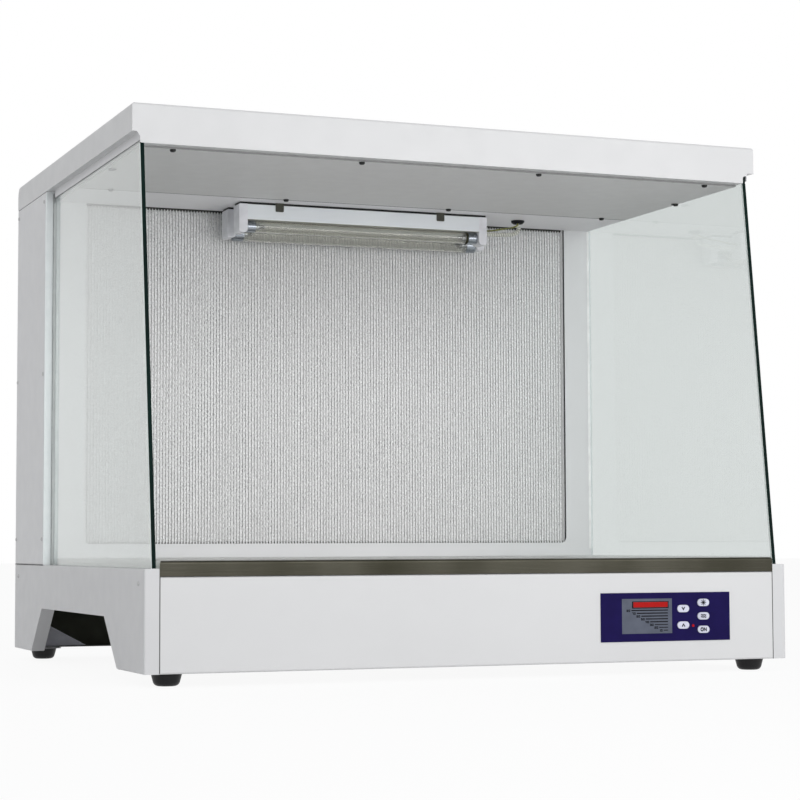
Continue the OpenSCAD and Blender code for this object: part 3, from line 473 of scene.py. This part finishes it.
gusset_t = 0.0013
gusset_x = 0.494
gusset_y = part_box("base_back_panel")[1].y - 0.0033
gusset_low, gusset_high, gusset_reach = base_low.z + 0.002, 0.0755, 0.1028
verts, faces = [], []
for hand in (-1, 1):
    corner = hand * gusset_x
    tip = corner - hand * gusset_reach
    add_prism(verts, faces, [(corner, gusset_y, gusset_low), (tip, gusset_y, gusset_low),
                             (corner, gusset_y, gusset_high)], (0, gusset_t, 0))
# The gussets' pale bluish tone is painted light: a lit patch inside the base.
galvanised_and_painted_light, tree, shader = start_finish("galvanised_sheet", Roughness=0.45)
shade(tree, shader, grain(tree, 70.0), (0.8, 0.81, 0.9), (0.88, 0.89, 0.98))
dent(tree, shader, grain(tree, 400.0), 0.0001, 0.3)
mesh_piece("lit_patch_gussets", verts, faces, galvanised_and_painted_light)


# ---------------------------------------------------------------------------
# Worktop. One stainless sheet, ground lengthwise, with its front edge rolled
# down over the front panel; that lip is painted darker, brown-grey, a painted reflection of a
# dark surround. A strip stands along the filter wall. The rails and brackets beneath are
# zinc-plated sheet.
# ---------------------------------------------------------------------------
def facing(tree, axis, bound):
    """A socket that is 1 where the flat normal along an axis is beyond bound, either way."""
    return normal_past(tree, axis, "ABSOLUTE", bound)


def ground_steel(name, tone, rough, lengthwise):
    made, tree, shader = start_finish(name, Metallic=1.0, Roughness=rough)
    strokes = grain(tree, 900.0, 3.0, lengthwise)
    light = Vector(tone)
    shade(tree, shader, strokes, tuple(light * 0.9), tuple(light))
    tree.links.new(spread(tree, strokes, rough * 0.8, rough * 1.3), shader.inputs["Roughness"])
    dent(tree, shader, strokes, 0.00003, 0.4)
    return made


stainless, tree, shader = start_finish("ground_stainless", Metallic=1.0, Roughness=0.3)
strokes = grain(tree, 900.0, 3.0, (0.02, 1, 1))
span = spread(tree, strokes)
place = add_node(tree, "NewGeometry")
split = add_node(tree, "SeparateXYZ")
forward = add_node(tree, "Math", operation="LESS_THAN")
forward.inputs[1].default_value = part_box("worktop")[0].y + 0.002
both = add_node(tree, "Math", operation="MULTIPLY")
tree.links.new(place.outputs["Position"], split.inputs[0])
tree.links.new(split.outputs[1], forward.inputs[0])
tree.links.new(forward.outputs[0], both.inputs[0])
tree.links.new(facing(tree, 1, 0.5), both.inputs[1])
lip_painted_reflection = both.outputs[0]
long_waves = spread(tree, grain(tree, 9.0, 2.0, (1, 0.2, 0.2)))
# Dark brown-grey tones of the lip: a painted reflection of a dark surround.
two_colours(tree, shader, lip_painted_reflection,
            tones(tree, span, (0.54, 0.535, 0.52), (0.62, 0.615, 0.6)),
            tones(tree, long_waves, (0.026, 0.025, 0.018), (0.05, 0.048, 0.038)))
tree.links.new(spread(tree, strokes, 0.24, 0.4), shader.inputs["Roughness"])
dent(tree, shader, strokes, 0.00002, 0.3)
dress(stainless, "worktop")
zinc = ground_steel("zinc_sheet", (0.62, 0.63, 0.64), 0.4, (0.3, 0.3, 0.3))
dress(zinc, "cross_rail_front", "cross_rail_middle", "cross_rail_rear", "worktop_stiffeners",
      "filter_clamps", "filter_shelf", "intake_box", "inlet_ring", "fan_bracket")


# ---------------------------------------------------------------------------
# Rubber feet: moulded black rubber, matt, slightly pitted. The grommet and the
# mains inlet are of the same black, moulded too.
# ---------------------------------------------------------------------------
def moulded(name, tone, rough, pit=0.00005, **surface):
    made, tree, shader = start_finish(name, Roughness=rough, **surface)
    light = Vector(tone)
    shade(tree, shader, grain(tree, 60.0), tuple(light * 0.85), tuple(light))
    dent(tree, shader, grain(tree, 1500.0), pit, 0.4)
    return made


rubber_and_shade_black = moulded("foot_rubber", (0.007, 0.007, 0.008), 0.45, 0.0001, Specular_IOR_Level=0.25)
dress(rubber_and_shade_black, "foot_front_left", "foot_front_right", "foot_rear_left", "foot_rear_right",
      "filter_gasket", "cable_grommet", "power_inlet")


# ---------------------------------------------------------------------------
# Glass sides: 6 mm float glass with ground edges. Its faces are clear with a
# breath of green; its front edges look into the sheet and are nearly black, with
# corners ground to a pale line; the rear edges are painted pale, painted light. White sealant joins
# each sheet to the wall, and a thin white film along each sheet's rear part is painted light.
# ---------------------------------------------------------------------------
glass_tint = (0.70, 0.74, 0.73)
shadow_tint = (0.9, 0.94, 0.93)
edge_dark, edge_light = (0.001, 0.006, 0.005), (0.0022, 0.0132, 0.011)
side_glass = bpy.data.materials.new("side_glass")
side_glass.use_nodes = True
tree = side_glass.node_tree
tree.nodes.clear()
face = add_node(tree, "BsdfPrincipled", Roughness=0.02, IOR=1.5)
face.inputs["Base Color"].default_value = (*glass_tint, 1)
face.inputs["Transmission Weight"].default_value = 1.0
shadow = add_node(tree, "BsdfTransparent", Color=(*shadow_tint, 1))
rim = add_node(tree, "BsdfPrincipled", Roughness=0.5)
rim.inputs["Specular IOR Level"].default_value = 0.05
depth = spread(tree, grain(tree, 30.0, 2.0, (1, 1, 0.2)))
# Rear edges take a pale tone, painted light; the other edges stay nearly black.
two_colours(tree, rim, towards(tree, 1, 1), tones(tree, depth, edge_dark, edge_light),
            tones(tree, depth, (0.8, 0.86, 0.84), (0.88, 0.93, 0.91)))
path = add_node(tree, "LightPath")
clear = add_node(tree, "MixShader")
whole = add_node(tree, "MixShader")
out = add_node(tree, "OutputMaterial")
tree.links.new(path.outputs["Is Shadow Ray"], clear.inputs[0])
tree.links.new(face.outputs[0], clear.inputs[1])
tree.links.new(shadow.outputs[0], clear.inputs[2])
tree.links.new(facing(tree, 0, 0.9), whole.inputs[0])
tree.links.new(rim.outputs[0], whole.inputs[1])
tree.links.new(clear.outputs[0], whole.inputs[2])
tree.links.new(whole.outputs[0], out.inputs[0])
dress(side_glass, "glass_left", "glass_right")

arris_w = 0.0042
arris_t = 0.00006
ground_edge, tree, shader = start_finish("ground_glass_edge", Roughness=0.6)
shade(tree, shader, grain(tree, 500.0), (0.86, 0.95, 0.91), (0.95, 1.0, 0.98))
dent(tree, shader, grain(tree, 1500.0), 0.00004)
glass_low, glass_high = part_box("glass_right")
top_y, top_z = -0.3619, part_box("roof_cover")[0].z
foot = Vector((0, glass_low.y, glass_low.z))
head = Vector((0, top_y, top_z))
along = (head - foot).normalized()
across_edge = Vector((0, along.z, -along.y)) * arris_w
verts, faces = [], []
for hand in (-1, 1):
    for x, away in ((hand * glass_low.x, -hand), (hand * glass_high.x, hand)):
        face_x = Vector((x, 0, 0))
        lift = Vector((away * arris_t, 0, 0))
        add_prism(verts, faces, [foot + face_x, head + face_x, head + across_edge + face_x,
                                 foot + across_edge + face_x], lift)
mesh_piece("glass_arrises", verts, faces, ground_edge)

bead_and_light_film_white = moulded("sealant_bead", (0.98, 0.98, 0.98), 0.5)
bead_low, bead_high = 0.1905, lamp_low.z - 0.0005
bead_t, film_t = 0.0008, 0.0001
wall_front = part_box("filter_wall")[0].y
verts, faces = [], []
for hand in (-1, 1):
    inner, outer = hand * glass_low.x, hand * (glass_low.x + film_t)
    add_box(verts, faces, (inner - hand * 0.0048, wall_front, bead_low),
            (inner - hand * 0.0002, wall_front - bead_t, bead_high))
    # A thin white film along each sheet's rear part: painted light.
    add_box(verts, faces, (outer, wall_front + 0.004, glass_low.z + 0.001),
            (outer + hand * film_t, glass_high.y - 0.0002, bead_high))
mesh_piece("beads_and_light_film", verts, faces, bead_and_light_film_white)


# ---------------------------------------------------------------------------
# Filter: glass-fibre paper folded into deep pleats, with a corrugated foil
# between each two folds, in an aluminium frame. Dark toothed strips under the
# ceiling and at the pack's foot are painted shade.
# ---------------------------------------------------------------------------
paper, tree, shader = start_finish("filter_paper", Roughness=0.9)
shade(tree, shader, grain(tree, 120.0), (0.92, 0.92, 0.915), (0.97, 0.97, 0.965))
dent(tree, shader, grain(tree, 1200.0), 0.0001, 0.4)
dress(paper, "filter_pack")
dress(moulded("pad_fibre", (0.10, 0.12, 0.12), 0.95, 0.0006), "prefilter_pad")
frame_metal, tree, shader = start_finish("filter_frame_metal", Roughness=0.4)
shade(tree, shader, grain(tree, 200.0), (0.74, 0.74, 0.74), (0.84, 0.84, 0.84))
dent(tree, shader, grain(tree, 300.0), 0.0001)
dress(frame_metal, "filter_frame")

foil, tree, shader = start_finish("separator_foil", Roughness=0.5)
shade(tree, shader, grain(tree, 330.0), (0.5, 0.5, 0.505), (0.98, 0.98, 0.98))
dent(tree, shader, grain(tree, 700.0), 0.0001, 0.5)
pack_low, pack_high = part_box("filter_pack")
pleats = 168
pitch = (pack_high.x - pack_low.x) / pleats
# Dark toothed strips at the pack's top and foot: painted shade.
sealant = moulded("filter_painted_shade", (0.035, 0.035, 0.03), 0.7, 0.0001)
shade_teeth_z = lamp_low.z - 0.0006
shade_teeth_y = pack_low.y - 0.0008
shade_teeth_t = 0.0004
tooth_high, tooth_low = 0.0034, 0.0038
tooth_share = 0.6
teeth = [(pack_low.x, shade_teeth_y, pack_high.z)]
for pleat in range(pleats):
    x0 = pack_low.x + pleat * pitch
    teeth += [(x0, shade_teeth_y, shade_teeth_z), (x0 + pitch / 2, shade_teeth_y, shade_teeth_z - tooth_high)]
teeth += [(pack_high.x, shade_teeth_y, shade_teeth_z), (pack_high.x, shade_teeth_y, pack_high.z)]
verts, faces = [], []
add_prism(verts, faces, teeth, (0, shade_teeth_t, 0))
foot_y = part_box("filter_frame")[0].y
foot_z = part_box("filter_frame")[0].z + 0.0077
for pleat in range(pleats):
    x0 = pack_low.x + (pleat + (1 - tooth_share) / 2) * pitch
    tooth_w = tooth_share * pitch
    add_prism(verts, faces, [(x0, foot_y, foot_z), (x0 + tooth_w, foot_y, foot_z),
                             (x0 + tooth_w / 2, foot_y, foot_z + tooth_low)], (0, -0.0003, 0))
mesh_piece("filter_seal", verts, faces, sealant)

fold_w, fold_proud = 0.0011, 0.0003
verts, faces = [], []
for pleat in range(pleats + 1):
    x0 = pack_low.x + pleat * pitch - fold_w / 2
    add_box(verts, faces, (x0, pack_low.y, pack_low.z),
            (x0 + fold_w, pack_low.y - fold_proud, pack_high.z))
mesh_piece("fold_edges", verts, faces, paper)

wave = 0.0088
ribbon = 0.0029
swing = 0.00085
lean = 0.0007
foil_in = 0.0005
web_t = 0.0003
foil_deep = 0.003
random.seed(4)
verts, faces = [], []
web_y = pack_low.y + foil_deep
add_box(verts, faces, (pack_low.x, web_y, pack_low.z), (pack_high.x, web_y + web_t, pack_high.z))
edges = ((-ribbon / 2, foil_deep), (-ribbon / 2, foil_in),
         (ribbon / 2, foil_in), (ribbon / 2, foil_deep))
for pleat in range(pleats):
    middle = pack_low.x + (pleat + 0.5) * pitch - lean
    low = pack_low.z + random.uniform(0, 0.003)
    high = shade_teeth_z - random.uniform(0.0005, 0.004)
    steps = int((high - low) / (wave / 2))
    flip = random.choice((0, 1))
    start = len(verts)
    for step in range(steps + 1):
        z = low + (high - low) * step / steps
        sway = (swing if (step + flip) % 2 else -swing) * random.uniform(0.6, 1.3)
        for x, y in edges:
            verts.append((middle + sway + x, pack_low.y + y, z))
    for step in range(steps):
        for side in range(3):
            a = start + 4 * step + side
            faces.append((a, a + 1, a + 5, a + 4))
mesh_piece("separator_foils", verts, faces, foil)


# ---------------------------------------------------------------------------
# Lamps: two enamelled steel battens with moulded end holders hang by blued
# spring clips, on thin black pads that fill the gap above them as painted shade. Each holds a
# faintly clouded quartz tube with metal caps and a coiled filament in each end. The top and bottom
# faces are painted a darker olive-grey: painted shade and reflection.
# ---------------------------------------------------------------------------
enamel, tree, shader = start_finish("lamp_enamel", Roughness=0.22)
outside = spread(tree, grain(tree, 8.0))
underside_shade_and_reflection = spread(tree, grain(tree, 12.0, 2.0, (1, 0.1, 1)))
# Faces up and down take a darker olive-grey: painted shade and reflection under the battens.
two_colours(tree, shader, facing(tree, 2, 0.8),
            tones(tree, outside, (0.78, 0.81, 0.84), (0.83, 0.86, 0.88)),
            tones(tree, underside_shade_and_reflection, (0.6, 0.6, 0.55), (0.72, 0.72, 0.67)))
dent(tree, shader, grain(tree, 1500.0), 0.00002, 0.4)
dress(enamel, "lamp_battens")
holder_plastic = moulded("holder_plastic", (0.80, 0.80, 0.84), 0.3, 0.00002)
dress(holder_plastic, "lamp_holders")
clip_steel = moulded("blued_spring_steel", (0.05, 0.05, 0.038), 0.4, 0.00003, Metallic=0.4)
dress(clip_steel, "lamp_clips")
cap_metal = ground_steel("tube_cap_metal", (0.36, 0.39, 0.43), 0.25, (1, 1, 1))
dress(cap_metal, "tube_caps")
quartz, tree, shader = start_finish("quartz_tube", Roughness=0.02, IOR=1.45)
shade(tree, shader, grain(tree, 40.0, 2.0, (0.1, 1, 1)), (0.94, 0.94, 0.89), (0.97, 0.97, 0.93))
shader.inputs["Transmission Weight"].default_value = 0.9
dress(quartz, "uv_tube", "light_tube")

# A dark, low-sheen finish for the band at the tube's end and for the filaments.
dark_ends, tree, shader = start_finish("dark_tube_ends", Roughness=0.5)
shader.inputs["Specular IOR Level"].default_value = 0.05
shade(tree, shader, grain(tree, 300.0), (0.02, 0.02, 0.012), (0.06, 0.06, 0.035))
dent(tree, shader, grain(tree, 1500.0), 0.00003)
sectors = 32


def add_turned(verts, faces, centre, axis, profile):
    """Adds a ring turned about an axis (0 x, 2 z), from (place, radius) pairs."""
    start = len(verts)
    for along_axis, r in profile:
        for k in range(sectors):
            turn = 2 * math.pi * k / sectors
            spoke = Vector((0, r * math.cos(turn), r * math.sin(turn)))
            if axis == 2:
                spoke = Vector((spoke.y, spoke.z, 0))
            point = Vector(centre) + spoke
            point[axis] = along_axis
            verts.append(point)
    rings = len(profile)
    for ring in range(rings):
        for k in range(sectors):
            a = start + ring * sectors + k
            b = start + ring * sectors + (k + 1) % sectors
            c = start + (ring + 1) % rings * sectors + (k + 1) % sectors
            d = start + (ring + 1) % rings * sectors + k
            faces.append((a, b, c, d))


# A dark band round the tube's right end, by the cap.
band_w = 0.0045
band_proud = 0.00025
tube_low, tube_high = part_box("uv_tube")
middle = (tube_low + tube_high) / 2
radius = (tube_high.y - tube_low.y) / 2
verts, faces = [], []
band_x = tube_high.x - band_w
add_turned(verts, faces, middle, 0, [(band_x, radius), (band_x, radius + band_proud),
                                     (tube_high.x, radius + band_proud), (tube_high.x, radius)])
mesh_piece("dark_tube_ends", verts, faces, dark_ends, smooth=True)

coil_len = 0.0072
coil_in = 0.0095
coil_r = 0.0026
coil_turns = 3
wire = 0.0008
coil_steps = 16
section = ((coil_r, -wire), (coil_r + wire, 0), (coil_r, wire), (coil_r - wire, 0))
verts, faces = [], []
for tube in ("uv_tube", "light_tube"):
    tube_low, tube_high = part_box(tube)
    middle = (tube_low + tube_high) / 2
    for x0 in (tube_low.x + coil_in, tube_high.x - coil_in - coil_len):
        start = len(verts)
        count = coil_turns * coil_steps
        for k in range(count + 1):
            turn = 2 * math.pi * coil_turns * k / count
            for r, shift in section:
                verts.append((x0 + coil_len * k / count + shift, middle.y + r * math.cos(turn),
                              middle.z + r * math.sin(turn)))
        for k in range(count):
            for side in range(4):
                a, b = start + 4 * k + side, start + 4 * k + (side + 1) % 4
                faces.append((a, b, b + 4, a + 4))
        faces.append(tuple(start + i for i in range(4)))
        faces.append(tuple(start + 4 * count + 3 - i for i in range(4)))
mesh_piece("filaments", verts, faces, dark_ends)

batten_low, batten_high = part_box("lamp_battens")
holder_low, holder_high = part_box("lamp_holders")
batten_deep = 0.032
pad_gap = 0.0001
verts, faces = [], []
# Black pads filling the gap above each batten: painted shade.
for short, y0 in ((0.027, batten_low.y), (0.005, batten_high.y - batten_deep)):
    add_box(verts, faces, (holder_low.x + 0.002, y0 + 2 * pad_gap, batten_high.z + pad_gap),
            (holder_high.x - short, y0 + batten_deep - 2 * pad_gap, lamp_low.z - pad_gap))
mesh_piece("batten_shade_pads", verts, faces, rubber_and_shade_black)

grommet_low, grommet_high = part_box("cable_grommet")
middle = (grommet_low + grommet_high) / 2
verts, faces = [], []
collar_z = grommet_low.z - 0.0028
collar_bore = 0.0068
add_turned(verts, faces, middle, 2, [(grommet_low.z, collar_bore), (grommet_low.z, 0.0117),
                                     (collar_z, 0.0086), (collar_z, collar_bore)])
mesh_piece("grommet_collar", verts, faces, rubber_and_shade_black)


# ---------------------------------------------------------------------------
# Lamp leads. The two wires run from the lamp to the grommet in a clear spiral
# wrap, a flat strip wound round them; the earth wire beside it is green-yellow.
# ---------------------------------------------------------------------------
wrap, tree, shader = start_finish("spiral_wrap", Roughness=0.3, IOR=1.49)
shade(tree, shader, grain(tree, 90.0), (0.66, 0.66, 0.6), (0.8, 0.8, 0.74))
dent(tree, shader, grain(tree, 800.0), 0.00004)
shader.inputs["Subsurface Weight"].default_value = 0.2
shader.inputs["Subsurface Radius"].default_value = (0.002, 0.002, 0.002)
core = moulded("wire_core", (0.42, 0.42, 0.38), 0.4)
dress(core, "lamp_lead")
earth, tree, shader = start_finish("earth_sleeve", Roughness=0.35)
shade(tree, shader, grain(tree, 120.0, 1.0, (1, 6, 1)), (0.05, 0.06, 0.01), (0.3, 0.3, 0.05))
dent(tree, shader, grain(tree, 1500.0), 0.00003)
dress(earth, "earth_lead")

lead_way = [(242, 95, 750.3), (252.1, 97.7, 750.8), (267.6, 100.9, 751.3),
            (285.4, 104.8, 752.8), (303.2, 109.1, 754.3), (315.6, 112, 758.8),
            (321.1, 113.9, 766.3), (319.5, 115.5, 773.3), (319.5, 116, 778.3)]
lead_r = 0.003
wrap_t = 0.0006
wrap_half = 0.0014
wrap_turn = 0.0052
wrap_from = 0.003
way = [Vector(p) / 1000 for p in lead_way]
steps = [0.0]
for a, b in zip(way, way[1:]):
    steps.append(steps[-1] + (b - a).length)


def on_lead(s):
    """The lead's centre at a length s along it."""
    s = min(max(s, 0.0), steps[-1] - 1e-6)
    k = max(i for i, t in enumerate(steps[:-1]) if t <= s)
    return way[k].lerp(way[k + 1], (s - steps[k]) / (steps[k + 1] - steps[k]))


strip = ((-wrap_half, lead_r - wrap_t), (-wrap_half, lead_r + wrap_t),
         (wrap_half, lead_r + wrap_t), (wrap_half, lead_r - wrap_t))
verts, faces = [], []
wrap_to = 0.93 * steps[-1]
turns = wrap_to / wrap_turn
count = int(turns * 20)
previous = Vector((0, 1, 0))
for k in range(count + 1):
    s = wrap_from + (wrap_to - wrap_from) * k / count
    centre = (on_lead(s - 0.002) + on_lead(s) + on_lead(s + 0.002)) / 3
    ahead = (on_lead(s + 0.003) - on_lead(s - 0.003)).normalized()
    side = (previous - ahead * previous.dot(ahead)).normalized()
    previous = side
    top = ahead.cross(side)
    turn = 2 * math.pi * turns * k / count
    out = side * math.cos(turn) + top * math.sin(turn)
    for half, r in strip:
        verts.append(centre + out * r + ahead * half)
    if k:
        for side_k in range(4):
            a = 4 * (k - 1) + side_k
            b = 4 * (k - 1) + (side_k + 1) % 4
            faces.append((a, b, b + 4, a + 4))
faces.extend([(0, 1, 2, 3), tuple(4 * count + i for i in (3, 2, 1, 0))])
mesh_piece("lead_wrap", verts, faces, wrap)


# ---------------------------------------------------------------------------
# Keypad: a printed navy film with a display window, five keys and an indicator.
# Scale, readout frame and legends are ink, printed on the film's face.
# ---------------------------------------------------------------------------
matt = {"Specular_IOR_Level": 0.05}
film = moulded("keypad_film", (0.010, 0.006, 0.066), 0.45, 0.00002, **matt)
dress(film, "keypad_overlay")
screen = moulded("display_screen", (0.115, 0.128, 0.165), 0.35, 0.00001, **matt)
dress(screen, "display_window")
key_film = moulded("key_film", (0.62, 0.63, 0.74), 0.4, 0.00002)
dress(key_film, "key_down", "key_up", "key_lamp", "key_uv", "key_power")
led = moulded("led_lens", (0.5, 0.01, 0.02), 0.2, 0.00001, **matt)
dress(led, "power_led")
ink = moulded("black_ink", (0.006, 0.006, 0.007), 0.5, 0.00001, **matt)
readout = moulded("readout_lens", (0.42, 0.011, 0.01), 0.3, 0.00001, **matt)
ink_t = 0.0001


def printed(name, outlines, front, made, body="cabinet"):
    """Thin shapes of ink, from outlines of (x, z) in metres on a face at y = front."""
    verts, faces = [], []
    for outline in outlines:
        add_prism(verts, faces, [(x, front, z) for x, z in outline], (0, -ink_t, 0))
    return mesh_piece(name, verts, faces, made, body)


def bar(x0, z0, x1, z1):
    return [(x0, z0), (x1, z0), (x1, z1), (x0, z1)]


def stroke(a, b, width):
    """The outline of a straight line of ink between two points."""
    start, end = Vector(a), Vector(b)
    run = (end - start).normalized() * (width / 2)
    aside = Vector((-run.y, run.x))
    return [start - run + aside, end + run + aside, end + run - aside, start - run - aside]


def digit(value, x, z, width, height, line):
    """Strokes of one numeral, x and z being its lower left corner."""
    half = height / 2
    lines = {"a": ((0, height), (width, height)), "b": ((width, half), (width, height)),
             "c": ((width, 0), (width, half)), "d": ((0, 0), (width, 0)), "e": ((0, 0), (0, half)),
             "f": ((0, half), (0, height)), "g": ((0, half), (width, half))}
    used = ["abcdef", "bc", "abged", "abgcd", "fgbc", "afgcd", "afgedc", "abc", "abcdefg"][value]
    return [stroke((x + lines[k][0][0], z + lines[k][0][1]),
                   (x + lines[k][1][0], z + lines[k][1][1]), line) for k in used]


window_low, window_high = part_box("display_window")
left, top, face_y = window_low.x, window_high.z, window_low.y
frame_x0, frame_x1 = left + 0.0173, left + 0.0806
frame_ink = [bar(frame_x0, top - 0.0050, frame_x1, top - 0.0040),
             bar(frame_x0, top - 0.0148, frame_x1, top - 0.0133),
             bar(frame_x0, top - 0.0133, left + 0.0196, top - 0.0050),
             bar(left + 0.0792, top - 0.0133, frame_x1, top - 0.0050)]
scale_ink = []
for row in range(8):
    z = top - 0.0178 - 0.0044 * row
    line_left = left + (0.0161 if row == 0 else 0.0254 + 0.0077 * (row - 1))
    thick = 0.00085 if row < 5 else 0.0006
    scale_ink.append(bar(line_left, z - thick, left + 0.0794, z + thick))
    tens = 8 - row
    for value, x in ((tens, line_left - 0.0078), (0, line_left - 0.0044)):
        scale_ink += digit(value, x, z - 0.0016, 0.0019, 0.0027, 0.0009)
printed("readout_frame", frame_ink, face_y, ink)
printed("scale_print", scale_ink, face_y, ink)
readout_shape = bar(left + 0.0198, top - 0.0131, left + 0.0790, top - 0.0052)
printed("readout_bar", [readout_shape], face_y, readout)


def key_middle(name):
    low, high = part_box(name)
    return (low.x + high.x) / 2, (low.z + high.z) / 2, low.y


def at_place(shapes, x, z):
    return [[(x + px / 1000, z + pz / 1000) for px, pz in shape] for shape in shapes]


def spoke(radius, turn):
    return radius * math.cos(turn), radius * math.sin(turn)


def ring(radius, line, count=20):
    """A circle of ink in straight strokes, in millimetres."""
    turn = 2 * math.pi / count
    return [stroke(spoke(radius, k * turn), spoke(radius, (k + 1) * turn), line)
            for k in range(count)]


chevron_down = [stroke((x, 1.7), (0, -1.5), 1.7) for x in (-2.0, 2.0)]
chevron_up = [stroke((x, -1.7), (0, 1.5), 1.7) for x in (-2.0, 2.0)]
lamp_sign = ring(1.1, 1.9, 14)
for k in range(8):
    lamp_sign.append(stroke(spoke(3.0, k * math.pi / 4), spoke(4.1, k * math.pi / 4), 1.2))
wave_sign = []
for row in (-1.5, 1.5):
    for k in range(8):
        wave_sign.append(stroke((-4 + k, row + 0.7 * math.sin(k * math.pi / 2)),
                                (-3 + k, row + 0.7 * math.sin((k + 1) * math.pi / 2)), 1.4))
on_word = [[(x * 0.95 - 2.9, z * 1.15) for x, z in shape] for shape in ring(2.1, 1.35)]
on_word += [stroke((0.8, -2.2), (0.8, 2.2), 1.35), stroke((0.8, 2.2), (4.6, -2.2), 1.35),
            stroke((4.6, -2.2), (4.6, 2.2), 1.35)]
for key, sign in (("key_down", chevron_down), ("key_up", chevron_up), ("key_lamp", lamp_sign),
                  ("key_uv", wave_sign), ("key_power", on_word)):
    x, z, front = key_middle(key)
    printed("legend_" + key[4:], at_place(sign, x, z), front, ink, key)


# ---------------------------------------------------------------------------
# Electronics and fan: black mouldings, a green laminate board, and the
# backward-curved impeller behind the filter.
# ---------------------------------------------------------------------------
black_plastic = moulded("black_plastic", (0.04, 0.04, 0.045), 0.5)
dress(black_plastic, "control_housing", "impeller", "fan_motor")
board = moulded("board_laminate", (0.02, 0.14, 0.05), 0.4)
dress(board, "control_board")
